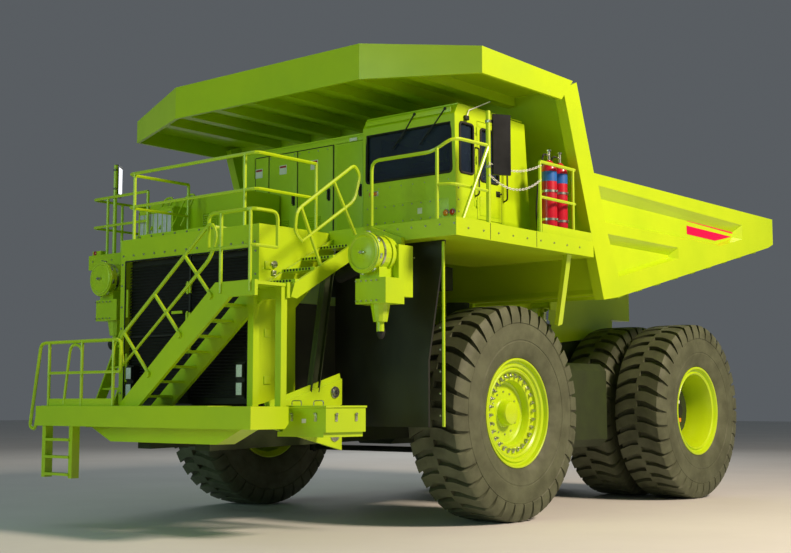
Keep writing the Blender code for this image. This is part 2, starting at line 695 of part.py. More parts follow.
left_deck += fence([(edge, -0.42, deck_rail_z), (edge, fence_rear_y, deck_rail_z)],
                   [(edge, -0.42), (edge, fence_rear_y - 0.05)], DECK_TOP)
front_rail_y = DECK_LEFT_FRONT_Y + 0.05
left_deck.append(pipe(rounded([(2.12, front_rail_y, DECK_TOP - 0.05),
                               (2.12, front_rail_y, DECK_TOP + 0.88),
                               (3.15, front_rail_y, DECK_TOP + 0.88),
                               (3.40, front_rail_y + 0.10, DECK_TOP + 1.05),
                               (MIRROR_X, MIRROR_Y, DECK_TOP + 1.02)], 0.12), POST_R))
left_deck.append(bar((3.22, front_rail_y, DECK_TOP - 0.05), (3.22, front_rail_y, DECK_TOP + 0.92),
                     POST_R * 0.95, 8))
left_deck.append(pipe(rounded([(3.22, front_rail_y, DECK_TOP + 0.45),
                               (3.42, front_rail_y + 0.08, DECK_TOP + 0.45),
                               (MIRROR_X, MIRROR_Y, DECK_TOP + 0.42)], 0.1), POST_R * 0.9))
# mirror post and its brace
post_r = POST_R * 1.3
left_deck.append(bar((MIRROR_X, MIRROR_Y, DECK_TOP - 0.10), (MIRROR_X, MIRROR_Y, MIRROR_TOP), post_r, 8))
left_deck.append(bar((MIRROR_X, DECK_LEFT_FRONT_Y + 0.14, DECK_TOP - 0.10),
                     (MIRROR_X, MIRROR_Y, DECK_TOP + 1.02), POST_R, 8))
# front beam bracket towards the stair, and the slanted leg at the deck's rear end
left_deck.append(outline([(2.20, DECK_TOP - 0.02), (2.72, DECK_TOP - 0.20), (2.72, deck_low - 0.42),
                          (2.38, deck_low - 0.10), (2.20, deck_low - 0.10)],
                         "XZ", DECK_LEFT_FRONT_Y - 0.06, DECK_LEFT_FRONT_Y + 0.01))
left_deck.append(strut((DECK_HALF - 0.12, 0.42, deck_low + 0.05), (DECK_HALF - 0.55, 0.82, 2.80), 0.07, 0.10,
                       up=(0, 1, 0)))
left_deck.append(strut((RAD_HALF + 0.06, 0.10, deck_low + 0.04), (RAD_HALF + 0.05, DECK_LEFT_FRONT_Y + 0.03,
                                                                 deck_low + 0.04), 0.10, 0.08))
weld("left_deck", LIME, left_deck)

right_deck = [block((-DECK_HALF, -RAD_HALF - GAP), (DECK_RIGHT_FRONT_Y, DECK_REAR_Y), (deck_low, DECK_TOP))]
right_rail_y, right_rail_end = DECK_RIGHT_FRONT_Y + 0.04, -2.17
right_deck += fence([(-edge, fence_rear_y, deck_rail_z - 0.08), (-edge, right_rail_y, deck_rail_z - 0.08),
                     (right_rail_end, right_rail_y, deck_rail_z - 0.08)],
                    [(-edge, fence_rear_y - 0.05), (-edge, -0.9), (-edge, -2.0), (-3.15, right_rail_y),
                     (right_rail_end, right_rail_y)], DECK_TOP)
right_mirror_y = DECK_RIGHT_FRONT_Y + 0.10
right_deck.append(bar((RIGHT_MIRROR_X, right_mirror_y, DECK_TOP - 0.1),
                      (RIGHT_MIRROR_X, right_mirror_y, RIGHT_MIRROR_Z + RIGHT_MIRROR_H - 0.02),
                      post_r, 8))
# brake resistor house on the right deck
right_deck.append(outline([(-2.58, DECK_TOP - 0.02), (-2.58, GRID_TOP), (-0.47, GRID_TOP),
                           (-0.47, DECK_TOP + 0.04), (-RAD_HALF - 0.02, DECK_TOP + 0.04),
                           (-RAD_HALF - 0.02, DECK_TOP - 0.02)], "XZ", -2.20, CABINET_FRONT_Y - 0.05))
right_deck.append(block((-2.44, -1.64), (DECK_RIGHT_FRONT_Y + 0.10, -2.18), (DECK_TOP - 0.02, DECK_TOP + 0.62)))
weld("right_deck", LIME, right_deck)

weld("centre_deck", LIME, [block((-RAD_HALF, RAD_HALF), (TOP_PLATE_REAR_Y + GAP, DECK_REAR_Y),
                                 (DECK_TOP - 0.13, DECK_TOP))])
walk_z = RAD_TOP + WALK_RAIL_H
walk_y, walk_rear_y, walk_x = RAD_FRONT_Y + 0.06, TOP_PLATE_REAR_Y - 0.28, RAD_HALF - 0.06
front_rail = fence([(-walk_x, walk_rear_y, walk_z), (-walk_x, walk_y, walk_z), (walk_x - 0.06, walk_y, walk_z),
                    (walk_x - 0.06, walk_rear_y, walk_z)],
                   [(-walk_x, walk_rear_y), (-walk_x + 0.14, walk_y), (walk_x - 0.28, walk_y),
                    (walk_x - 0.06, walk_rear_y)], RAD_TOP + GAP + 0.10, 0.44)
weld("front_deck_handrail", LIME, front_rail)

# ---------------------------------------------------------------- cab
cab_left = CAB_X + CAB_WIDTH
cab_rear = CAB_FRONT_Y + CAB_LENGTH
shell = [outline([(CAB_FRONT_Y, CAB_Z), (cab_rear + 0.14, CAB_Z), (cab_rear, CAB_TOP - 0.02),
                  (CAB_FRONT_Y + 0.05, CAB_TOP), (CAB_FRONT_Y - 0.03, CAB_TOP - 0.14)],
                 "YZ", CAB_X, cab_left)]
shell.append(block((CAB_X + 0.12, cab_left - 0.12), (CAB_FRONT_Y + 0.12, cab_rear - 0.12),
                   (DECK_TOP + GAP, CAB_Z + 0.02)))
w = CAB_WALL
door_rear_y = DOOR_FRONT_Y + DOOR_WIDTH
door_z = (CAB_Z + 0.06, CAB_TOP - 0.16)
glass_z = (CAB_Z + 0.66, CAB_TOP - 0.24)
cab_cuts = [
    outline([(CAB_FRONT_Y + w, CAB_Z + w), (cab_rear + 0.14 - w * 1.2, CAB_Z + w),
             (cab_rear - w, CAB_TOP - 0.10), (CAB_FRONT_Y + w, CAB_TOP - 0.10)],
            "YZ", CAB_X + w, cab_left - w),
    # windscreen, corner glass, door, rear and right windows
    block((CAB_X + 0.06, cab_left - 0.07), (CAB_FRONT_Y - 0.3, CAB_FRONT_Y + w + 0.02), glass_z),
    block((cab_left - w - 0.05, cab_left + 0.1), (CAB_FRONT_Y + 0.08, DOOR_FRONT_Y - 0.09), glass_z),
    block((cab_left - w - 0.02, cab_left + 0.1), (DOOR_FRONT_Y, door_rear_y), door_z),
    block((CAB_X + 0.25, cab_left - 0.25), (cab_rear - w - 0.05, cab_rear + 0.3), glass_z),
    block((CAB_X - 0.1, CAB_X + w + 0.02), (CAB_FRONT_Y + 0.30, cab_rear - 0.30), glass_z),
]
weld("cab_shell", LIME, shell, cab_cuts)


def pane(name, x, y, z):
    return weld(name, GLASS, [block(x, y, z)])


pane("windscreen", (CAB_X + 0.06 + GAP, cab_left - 0.07 - GAP),
     (CAB_FRONT_Y + 0.015, CAB_FRONT_Y + 0.015 + GLASS_T), (glass_z[0] + GAP, glass_z[1] - GAP))
pane("corner_window", (cab_left - 0.03, cab_left - 0.03 + GLASS_T),
     (CAB_FRONT_Y + 0.08 + GAP, DOOR_FRONT_Y - 0.09 - GAP), (glass_z[0] + GAP, glass_z[1] - GAP))

g = DOOR_SWING_GAP
door_x = (cab_left - 0.05, cab_left)
door = weld("cab_door", LIME, [
    block(door_x, (DOOR_FRONT_Y + g, door_rear_y - g), (door_z[0] + g, door_z[1] - g))],
    [block((door_x[0] - 0.1, door_x[1] + 0.1), (DOOR_FRONT_Y + 0.08, door_rear_y - 0.08),
           (CAB_Z + 0.60, CAB_TOP - 0.26))])
door_pivot = pivot("cab_door_hinge", (cab_left, DOOR_FRONT_Y + g, CAB_Z + 0.7))
carry(door_pivot, door)

seat_x = CAB_X + CAB_WIDTH * 0.58
weld("operator_seat", CLOTH, [
    block((seat_x - 0.26, seat_x + 0.26), (-0.98, -0.46), (CAB_Z + w + 0.30, CAB_Z + w + 0.46)),
    strut((seat_x, -0.50, CAB_Z + w + 0.40), (seat_x, -0.38, CAB_TOP - 0.45), 0.46, 0.12, up=(0, 1, 0)),
    block((seat_x - 0.17, seat_x + 0.17), (-0.90, -0.54), (CAB_Z + w + GAP, CAB_Z + w + 0.32))])
weld("steering_wheel", BLACK, [
    bar((seat_x, -1.44, CAB_Z + w + GAP + 0.03), (seat_x, -1.25, CAB_Z + 0.82), 0.035, 8),
    bar((seat_x, -1.262, CAB_Z + 0.78), (seat_x, -1.240, CAB_Z + 0.84), 0.21, 16)])

# ---------------------------------------------------------------- electrical cabinet
cabinet_rear = CABINET_FRONT_Y + CABINET_DEPTH
cabinet_right = CAB_X - 0.06
cabinet_z = DECK_TOP + GAP
weld("control_cabinet", LIME, [
    outline([(CABINET_X, cabinet_z), (cabinet_right, cabinet_z), (cabinet_right, CABINET_TOP),
             (CABINET_X - 0.29, CABINET_TOP), (CABINET_X - 0.29, CABINET_TOP - 0.35)],
            "XZ", CABINET_FRONT_Y, cabinet_rear)],
    [block((cabinet_right - 0.62, cabinet_right - 0.05), (CABINET_FRONT_Y - 0.1, cabinet_rear - 0.04),
           (cabinet_z + 0.10, CABINET_TOP - 0.08))])
cab_door_x = (cabinet_right - 0.62 + g, cabinet_right - 0.05 - g)
cabinet_door = weld("cabinet_door", LIME, [
    block(cab_door_x, (CABINET_FRONT_Y - 0.012, CABINET_FRONT_Y + 0.025),
          (cabinet_z + 0.10 + g, CABINET_TOP - 0.08 - g))])
cabinet_pivot = pivot("cabinet_door_hinge", (cab_door_x[0], CABINET_FRONT_Y - 0.012, 4.7))
carry(cabinet_pivot, cabinet_door)

# ---------------------------------------------------------------- air cleaners
for side, label in ((LEFT, "left"), (RIGHT, "right")):
    x = side * CLEANER_X
    rear = CLEANER_FRONT_Y + CLEANER_LENGTH
    low = CLEANER_Z - CLEANER_R
    deck_front = DECK_LEFT_FRONT_Y - 0.06 if side > 0 else DECK_RIGHT_FRONT_Y
    cleaner = [
        bar((x, CLEANER_FRONT_Y, CLEANER_Z), (x, rear - 0.02, CLEANER_Z), CLEANER_R, 24),
        block((x - 0.20, x + 0.30), (CLEANER_FRONT_Y + 0.06, rear), (low - 0.40, low - 0.08)),
        block((x - 0.16, x + 0.16), (CLEANER_FRONT_Y + 0.10, rear - 0.03), (low - 0.12, CLEANER_Z)),
        bar((x + 0.05, CLEANER_FRONT_Y + 0.25, low - 0.38), (x + 0.05, CLEANER_FRONT_Y + 0.25, low - 0.62),
            0.13, 12, 0.09),
        bar((x + 0.05, CLEANER_FRONT_Y + 0.25, low - 0.60), (x + 0.05, CLEANER_FRONT_Y + 0.25, low - 0.74),
            0.05, 12),
        block((x + 0.05, x + 0.26), (rear - 0.06, deck_front - GAP), (low - 0.30, CLEANER_Z + 0.12)),
    ]
    weld(f"air_cleaner_{label}", LIME, cleaner)

# ---------------------------------------------------------------- fire bottles
bottle = []
for y in (0.08, 0.36):
    bottle += [bar((3.36, y, DECK_TOP + GAP), (3.36, y, DECK_TOP + BOTTLE_H), BOTTLE_R, 14),
               bar((3.36, y, DECK_TOP + BOTTLE_H - 0.01), (3.36, y, DECK_TOP + BOTTLE_H + 0.10), BOTTLE_R, 14,
                   0.03),
               bar((3.36, y, DECK_TOP + BOTTLE_H + 0.08), (3.36, y, DECK_TOP + BOTTLE_H + 0.24), 0.028, 8)]
bottle.append(block((3.33, 3.39), (0.10, 0.34), (DECK_TOP + 0.62, DECK_TOP + 0.66)))
weld("fire_bottles", RED, bottle)

# ---------------------------------------------------------------- battery box
box_right = BOX_X + BOX_WIDTH
box_rear = box_front_y + BOX_DEPTH
box_top = BOX_Z + BOX_H
weld("battery_box", LIME,
     [block((BOX_X, box_right), (box_front_y + 0.02, box_rear), (BOX_Z + 0.04, box_top))],
     [block((BOX_X + 0.02, box_right - 0.02), (box_front_y + 0.04, box_rear - 0.02),
            (BOX_Z + 0.06, box_top + 0.1))])
lid = weld("battery_lid", LIME, [
    block((BOX_X - 0.012, box_right + 0.012), (box_front_y + 0.008, box_rear + 0.012),
          (box_top + 0.006, box_top + 0.03))])
lid_pivot = pivot("battery_lid_hinge", (BOX_X - 0.012, 0, box_top + 0.03))
carry(lid_pivot, lid)

# ---------------------------------------------------------------- guards
guard_top = deck_low - GAP
for side, label in ((LEFT, "left"), (RIGHT, "right")):
    rails = [(side * 1.25, guard_top), (side * GUARD_TOP_X, guard_top), (side * GUARD_FOOT_X, 2.2),
             (side * GUARD_FOOT_X, GUARD_FOOT_Z), (side * 1.25, GUARD_FOOT_Z)]
    weld(f"mudguard_{label}", BLACK, [outline(rails, "XZ", GUARD_Y - 0.02, GUARD_Y + 0.01)])

# ---------------------------------------------------------------- mirrors
def mirror(name, x, y, low_z, height, turn):
    """A mirror head on two arms beside its post, turned about the post."""
    head = Matrix.Translation((x, y, 0)) @ Matrix.Rotation(turn, 4, "Z")
    reach = post_r + 0.03
    made = [outline([(reach, low_z), (reach + MIRROR_W, low_z), (reach + MIRROR_W, low_z + height),
                     (reach, low_z + height)], "XZ", -0.025, 0.025, head)]
    for share in (0.12, 0.88):
        z = low_z + height * share
        made.append(outline([(post_r + GAP, z - 0.02), (reach + 0.03, z - 0.02), (reach + 0.03, z + 0.02),
                             (post_r + GAP, z + 0.02)], "XZ", -0.012, 0.012, head))
    weld(name, BLACK, made)


mirror("mirror_left", MIRROR_X, MIRROR_Y, MIRROR_TOP - 0.04 - MIRROR_H, MIRROR_H, math.radians(60))
mirror("mirror_right", RIGHT_MIRROR_X, right_mirror_y, RIGHT_MIRROR_Z, RIGHT_MIRROR_H, math.radians(128))

# ---------------------------------------------------------------- tanks
for side, label in ((LEFT, "fuel_tank"), (RIGHT, "hydraulic_tank")):
    inner, outer = HOIST_X + HOIST_R + 0.10, TANK_OUTER_X
    r = 0.12
    z0, z1 = TANK_Z, TANK_Z + TANK_H
    ring = [(inner + r, z0), (outer - r, z0), (outer, z0 + r), (outer, z1 - r), (outer - r, z1),
            (inner + r, z1), (inner, z1 - r), (inner, z0 + r)]
    tank = [outline([(side * u, v) for u, v in ring], "XZ", TANK_BEHIND, TANK_BEHIND + tank_length)]
    for y in (TANK_BEHIND + tank_length * 6 / 29, TANK_BEHIND + tank_length * 10 / 29):
        tank.append(block(sorted((side * (rail_out + GAP), side * (inner + 0.10))), (y - 0.09, y + 0.09),
                          (TANK_Z + 0.72, TANK_Z + 0.92)))
    weld(label, LIME if side > 0 else DARK, tank)

# ---------------------------------------------------------------- front axle and steering
strut_low = AXLE_Z + 0.62
strut_top = 3.12
cross_z = (2.45, 2.80)
axle = [block((-KINGPIN_X, KINGPIN_X), (-0.20, 0.20), cross_z)]
for side in (LEFT, RIGHT):
    axle.append(bar((side * KINGPIN_X, 0, strut_low), (side * KINGPIN_X, 0, strut_top), STRUT_R, 16))
    axle.append(block(sorted((side * (rail_in + 0.01), side * (rail_out - 0.01))), (-0.18, 0.18),
                      (RAIL_FRONT_TOP + GAP, cross_z[0] + 0.05)))
weld("front_axle", LIME, axle)

knuckles = {}
for side, label in ((LEFT, "left"), (RIGHT, "right")):
    x = side * KINGPIN_X
    arm_end = (x, STEER_ARM, TIE_ROD_Z + 0.10)
    made = [
        bar((x, 0, TIE_ROD_Z + 0.04), (x, 0, strut_low - 0.006), 0.125, 16),
        bar((x - side * 0.02, 0, AXLE_Z), (side * (FRONT_WHEEL_X - 0.12), 0, AXLE_Z), 0.20, 16, 0.16),
        strut((x, -0.02, TIE_ROD_Z + 0.12), (x, STEER_ARM + 0.02, TIE_ROD_Z + 0.12), 0.13, 0.08, up=(0, 0, 1)),
        bar((x, STEER_ARM, TIE_ROD_Z + 0.075), (x, STEER_ARM, TIE_ROD_Z + 0.17), 0.085, 12),
        bar((x, STEER_ARM, TIE_ROD_Z - 0.08), (x, STEER_ARM, TIE_ROD_Z + 0.08), 0.03, 10),
    ]
    knuckle = weld(f"knuckle_{label}", DARK, made)
    knuckles[label] = pivot(f"kingpin_{label}", (x, 0, AXLE_Z))
    carry(knuckles[label], knuckle)

tie = weld("tie_rod", DARK, [
    bar((-KINGPIN_X + 0.05, STEER_ARM, TIE_ROD_Z), (KINGPIN_X - 0.05, STEER_ARM, TIE_ROD_Z), 0.045, 12),
    bar((KINGPIN_X, STEER_ARM, TIE_ROD_Z - 0.06), (KINGPIN_X, STEER_ARM, TIE_ROD_Z + 0.06), 0.08, 12),
    bar((-KINGPIN_X, STEER_ARM, TIE_ROD_Z - 0.06), (-KINGPIN_X, STEER_ARM, TIE_ROD_Z + 0.06), 0.08, 12)],
    [bar((side * KINGPIN_X, STEER_ARM, TIE_ROD_Z - 0.2), (side * KINGPIN_X, STEER_ARM, TIE_ROD_Z + 0.2),
         0.037, 10) for side in (LEFT, RIGHT)])
tie_pivot = pivot("tie_rod_pin", (KINGPIN_X, STEER_ARM, TIE_ROD_Z), knuckles["left"])
carry(tie_pivot, tie)

# ---------------------------------------------------------------- wheels
flat = math.cos(math.pi / TYRE_SIDES)
tread_r = AXLE_Z / flat
shoulder = tread_r - 0.055
half, tread = TYRE_WIDTH / 2, TREAD_WIDTH / 2
tyre_profile = [
    (half - 0.10, BEAD_R), (half - 0.02, BEAD_R + 0.16), (half, BEAD_R + 0.34),
    (tread + 0.02, shoulder), (tread - 0.09, tread_r),
    (-tread + 0.09, tread_r), (-tread - 0.02, shoulder), (-half, BEAD_R + 0.34),
    (-half + 0.02, BEAD_R + 0.16), (-half + 0.10, BEAD_R)]


def tyre(name, x, y):
    return turned(name, RUBBER, tyre_profile, (x, y, AXLE_Z), (1, 0, 0), TYRE_SIDES,
                  math.pi / TYRE_SIDES)


rim_half = half - 0.09
r_in = BEAD_R * flat - 0.003
front_rim = [
    # along the axle, towards the outside; radius
    (rim_half, 0.0), (rim_half - 0.02, 0.13), (rim_half - 0.05, 0.30), (rim_half - 0.16, 0.40),
    (rim_half - 0.16, 0.56), (rim_half - 0.05, 0.66), (rim_half, r_in - 0.03), (rim_half, r_in),
    (-rim_half, r_in), (-rim_half, r_in - 0.03), (-rim_half + 0.05, 0.66), (rim_half - 0.24, 0.60),
    (rim_half - 0.24, 0.36), (-0.06, 0.34), (-0.06, 0.0)]
for side, label in ((LEFT, "left"), (RIGHT, "right")):
    x = side * FRONT_WHEEL_X
    t = tyre(f"front_tyre_{label}", x, 0)
    rim = turned(f"front_rim_{label}", LIME, front_rim, (x, 0, AXLE_Z), (side, 0, 0), 24)
    hub = pivot(f"front_hub_{label}", (x, 0, AXLE_Z), knuckles[label])
    carry(hub, t, rim)

twin_mid = TWIN_OUTER_X - TWIN_SPACING / 2
twin_half = TWIN_SPACING / 2 + rim_half
rear_rim = [
    (twin_half - 0.34, 0.0), (twin_half - 0.34, 0.36), (twin_half - 0.30, 0.40), (twin_half - 0.30, 0.58),
    (twin_half - 0.06, 0.64), (twin_half, r_in - 0.03), (twin_half, r_in),
    (-twin_half, r_in), (-twin_half, r_in - 0.04), (-twin_half + 0.06, 0.60), (twin_half - 0.42, 0.54),
    (twin_half - 0.42, 0.0)]
for side, label in ((LEFT, "left"), (RIGHT, "right")):
    outer = tyre(f"rear_tyre_outer_{label}", side * TWIN_OUTER_X, WHEELBASE)
    inner = tyre(f"rear_tyre_inner_{label}", side * (TWIN_OUTER_X - TWIN_SPACING), WHEELBASE)
    rim = turned(f"rear_rims_{label}", LIME, rear_rim, (side * twin_mid, WHEELBASE, AXLE_Z), (side, 0, 0), 24)
    hub = pivot(f"rear_hub_{label}", (side * twin_mid, WHEELBASE, AXLE_Z))
    carry(hub, outer, inner, rim)

# ---------------------------------------------------------------- rear axle
axle_end = twin_mid + twin_half - 0.42 - CLEAR
rear = [block((-0.66, 0.66), (WHEELBASE - 0.50, WHEELBASE + 0.50), (AXLE_Z - 0.46, AXLE_Z + 0.44)),
        bar((-axle_end, WHEELBASE, AXLE_Z), (axle_end, WHEELBASE, AXLE_Z), 0.44, 16),
        outline([(WHEELBASE - 0.45, AXLE_Z + 0.30), (arch_y - 0.55, AXLE_Z + 0.16), (arch_y - 0.55, AXLE_Z - 0.10),
                 (WHEELBASE - 0.45, AXLE_Z - 0.36)], "YZ", -0.30, 0.30)]
for side in (LEFT, RIGHT):
    x = side * 0.15
    rear.append(bar((x, WHEELBASE + 0.42, AXLE_Z + 0.20), (x, PIVOT_Y - 0.05, PIVOT_Z - 0.20), 0.10, 12))
weld("rear_axle", LIME, rear)

# ---------------------------------------------------------------- dump body
floor_slope = (FLOOR_REAR_Z - FLOOR_FRONT_Z) / (FLOOR_REAR_Y - FLOOR_FRONT_Y)
post_slope = (FLOOR_FRONT_Y - POST_TOP_Y) / (CANOPY_SIDE_TOP - FLOOR_FRONT_Z)


def floor_z(y):
    """Height of the floor's lower edge."""
    return FLOOR_FRONT_Z + floor_slope * (y - FLOOR_FRONT_Y)


def post_y(z):
    """Y of the front post's rear edge."""
    return POST_TOP_Y + post_slope * (CANOPY_SIDE_TOP - z)


post_w = 0.40
inner_side = BODY_HALF - SIDE_T - SHEET
tray = []
side_line = [(post_y(FLOOR_FRONT_Z) - post_w, FLOOR_FRONT_Z - 0.06), (FLOOR_FRONT_Y, FLOOR_FRONT_Z),
             (FLOOR_REAR_Y, FLOOR_REAR_Z), (TAIL_Y, FLOOR_REAR_Z + 0.08), (TAIL_Y, BODY_TOP),
             (post_y(BODY_TOP), BODY_TOP), (post_y(CANOPY_SIDE_TOP), CANOPY_SIDE_TOP),
             (post_y(CANOPY_SIDE_TOP) - post_w * 0.9, CANOPY_SIDE_TOP - 0.16)]
for side in (LEFT, RIGHT):
    tray.append(outline(side_line, "YZ", *sorted((side * inner_side, side * BODY_HALF))))
# floor and headboard between the sides
floor_t = 0.10
tray.append(outline([(FLOOR_FRONT_Y - 0.28, FLOOR_FRONT_Z + 0.05), (FLOOR_REAR_Y + 0.02, FLOOR_REAR_Z + 0.09),
                     (FLOOR_REAR_Y, FLOOR_REAR_Z + 0.09 + floor_t),
                     (FLOOR_FRONT_Y - 0.28, FLOOR_FRONT_Z + 0.05 + floor_t)],
                    "YZ", -inner_side - 0.05, inner_side + 0.05))
tray.append(outline([(post_y(FLOOR_FRONT_Z) - 0.25, FLOOR_FRONT_Z + 0.02),
                     (post_y(FLOOR_FRONT_Z) - 0.15, FLOOR_FRONT_Z + 0.02),
                     (post_y(CANOPY_PLATE_Z) - 0.05, CANOPY_PLATE_Z + 0.01),
                     (post_y(CANOPY_PLATE_Z) - 0.15, CANOPY_PLATE_Z + 0.01)],
                    "YZ", -inner_side - 0.05, inner_side + 0.05))
# canopy plate, its lips and its ribs
lip_t = 0.05
plate_line = [(-BODY_HALF + 0.02, post_y(CANOPY_PLATE_Z) - 0.05), (-BODY_HALF + 0.02, LIP_CORNER_Y + 0.02),
              (-LIP_HALF, LIP_Y + 0.03), (LIP_HALF, LIP_Y + 0.03), (BODY_HALF - 0.02, LIP_CORNER_Y + 0.02),
              (BODY_HALF - 0.02, post_y(CANOPY_PLATE_Z) - 0.05)]
tray.append(outline(plate_line, "XY", CANOPY_PLATE_Z, CANOPY_PLATE_Z + SHEET))
tray.append(block((-LIP_HALF, LIP_HALF), (LIP_Y, LIP_Y + lip_t), (LIP_BOTTOM, LIP_TOP)))
lip_run = math.hypot(BODY_HALF - LIP_HALF, LIP_CORNER_Y - LIP_Y)
lip_turn = math.atan2(LIP_CORNER_Y - LIP_Y, BODY_HALF - LIP_HALF)
for side in (LEFT, RIGHT):
    at = Matrix.Translation((side * LIP_HALF, LIP_Y, 0)) @ Matrix.Rotation(side * lip_turn, 4, "Z")
    tray.append(outline([(-side * 0.002, LIP_BOTTOM), (side * lip_run, CANOPY_SIDE_BOTTOM),
                         (side * lip_run, CANOPY_SIDE_TOP + 0.04), (-side * 0.002, LIP_TOP)], "XZ", 0.0, lip_t, at))
    tray.append(outline([(LIP_CORNER_Y, CANOPY_SIDE_BOTTOM),
                         (post_y(CANOPY_SIDE_TOP) - post_w, CANOPY_SIDE_BOTTOM),
                         (post_y(CANOPY_SIDE_TOP) - 0.1, CANOPY_SIDE_TOP), (LIP_CORNER_Y, CANOPY_SIDE_TOP + 0.04)],
                        "YZ", *sorted((side * (BODY_HALF - lip_t), side * BODY_HALF))))
rib_z = (CANOPY_SIDE_BOTTOM + 0.09, CANOPY_PLATE_Z + 0.01)
for i in range(8):
    x = -2.45 + i * 0.70
    front = LIP_Y + 0.04 if abs(x) < LIP_HALF else LIP_Y + 0.04 + (abs(x) - LIP_HALF) * math.tan(lip_turn)
    tray.append(block((x - 0.08, x + 0.08), (front, post_y(rib_z[0]) - 0.20), rib_z))
# ribs under the floor
for i in range(9):
    y = FLOOR_FRONT_Y + 0.35 + i * 0.60
    z = floor_z(y)
    tray.append(outline([(y - 0.11, z + 0.10), (y - 0.07, z - 0.07), (y + 0.07, z - 0.04), (y + 0.11, z + 0.12)],
                        "YZ", -inner_side, inner_side))
# sills that rest on the rails and carry the pivot eyes
sill_in, sill_out = rail_in + 0.02, rail_out - 0.02
sill_lift = 0.25        # over the rails' ends, so that the tipped sills clear them
sill_line = [(climb_end_y + 0.1, rail_top(climb_end_y + 0.1) + CLEAR),
             (PIVOT_Y - 0.75, rail_top(PIVOT_Y - 0.75) + CLEAR), (PIVOT_Y - 0.30, RAIL_REAR_TOP + sill_lift),
             (PIVOT_Y + 0.40, RAIL_REAR_TOP + sill_lift), (PIVOT_Y + 0.40, floor_z(PIVOT_Y + 0.40) + 0.12),
             (climb_end_y + 0.1, floor_z(climb_end_y + 0.1) + 0.12)]
for side in (LEFT, RIGHT):
    tray.append(outline(sill_line, "YZ", *sorted((side * sill_in, side * sill_out))))
    eye_in, eye_out = rail_in - 0.02 - 0.10, rail_in - 0.02
    tray.append(outline([(PIVOT_Y - 0.20, PIVOT_Z - 0.05), (PIVOT_Y - 0.12, PIVOT_Z - 0.19),
                         (PIVOT_Y + 0.12, PIVOT_Z - 0.19), (PIVOT_Y + 0.20, PIVOT_Z - 0.05),
                         (PIVOT_Y + 0.30, floor_z(PIVOT_Y) + 0.10), (PIVOT_Y - 0.45, floor_z(PIVOT_Y) - 0.02)],
                        "YZ", *sorted((side * eye_in, side * eye_out))))
    # hoist pins under the floor
    tray.append(bar((side * (sill_in + 0.03), HOIST_HEAD_Y, HOIST_HEAD_Z),
                    (side * (HOIST_X + HOIST_R + 0.06), HOIST_HEAD_Y, HOIST_HEAD_Z), 0.05, 12))
    tray.append(block(sorted((side * (HOIST_X + HOIST_R + 0.02), side * (HOIST_X + HOIST_R + 0.06))),
                      (HOIST_HEAD_Y - 0.12, HOIST_HEAD_Y + 0.12),
                      (HOIST_HEAD_Z - 0.10, floor_z(HOIST_HEAD_Y) + 0.10)))

tray_cuts = []
# recessed panels between the side ribs, their upper walls sloping in
rail_low = BODY_TOP - 0.17
rib_high, rib_low = 4.31, 4.14
upper_end_y, lower_end_y = 5.96, 3.58


def floor_band(y):
    """Height of the bottom rail's upper edge."""
    return floor_z(y) + 0.30


def recess_cutter(side, outer, inner):
    """A recess in a side: its outline at the ribs' faces and its smaller outline at the panel."""
    bm = bmesh.new()
    rings = [[bm.verts.new((side * x, y, z)) for y, z in line] for x, line in
             ((BODY_HALF + 0.05, outer), (BODY_HALF, outer), (BODY_HALF - SIDE_T, inner))]
    for near, far in zip(rings, rings[1:]):
        for i, corner_vert in enumerate(near):
            j = (i + 1) % len(near)
            bm.faces.new((corner_vert, near[j], far[j], far[i]))
    bm.faces.new(rings[0])
    bm.faces.new(rings[-1])
    bmesh.ops.triangulate(bm, faces=bm.faces)
    return place("recess", bm)


upper_y, lower_y = post_y(rail_low) + 0.06, post_y(rib_low) + 0.06
low_corner_y = post_y(3.6) + 0.18
for side in (LEFT, RIGHT):
    tray_cuts.append(recess_cutter(
        side,
        [(upper_y, rail_low), (upper_end_y, rail_low - 0.07), (upper_end_y, floor_band(upper_end_y)),
         (5.10, rib_high), (post_y(rib_high) + 0.06, rib_high)],
        [(upper_y + 0.06, rail_low - 0.15), (upper_end_y - 0.12, rail_low - 0.20),
         (upper_end_y - 0.12, floor_band(upper_end_y) + 0.03), (5.13, rib_high + 0.05),
         (post_y(rib_high) + 0.12, rib_high + 0.05)]))
    tray_cuts.append(recess_cutter(
        side,
        [(lower_y, rib_low), (lower_end_y, rib_low), (lower_end_y, floor_band(lower_end_y)),
         (low_corner_y, floor_band(low_corner_y))],
        [(lower_y + 0.06, rib_low - 0.12), (lower_end_y - 0.10, rib_low - 0.12),
         (lower_end_y - 0.10, floor_band(lower_end_y) + 0.02),
         (low_corner_y + 0.06, floor_band(low_corner_y) + 0.06)]))
# holes for the pivot pin
for side in (LEFT, RIGHT):
    tray_cuts.append(bar((side * (rail_in - 0.2), PIVOT_Y, PIVOT_Z), (side * (rail_in + 0.02), PIVOT_Y, PIVOT_Z),
                         PIVOT_PIN_R + 0.008, 16))
body = weld("dump_body", LIME, tray, tray_cuts)
body_pivot = pivot("body_pivot", (0, PIVOT_Y, PIVOT_Z))
carry(body_pivot, body)

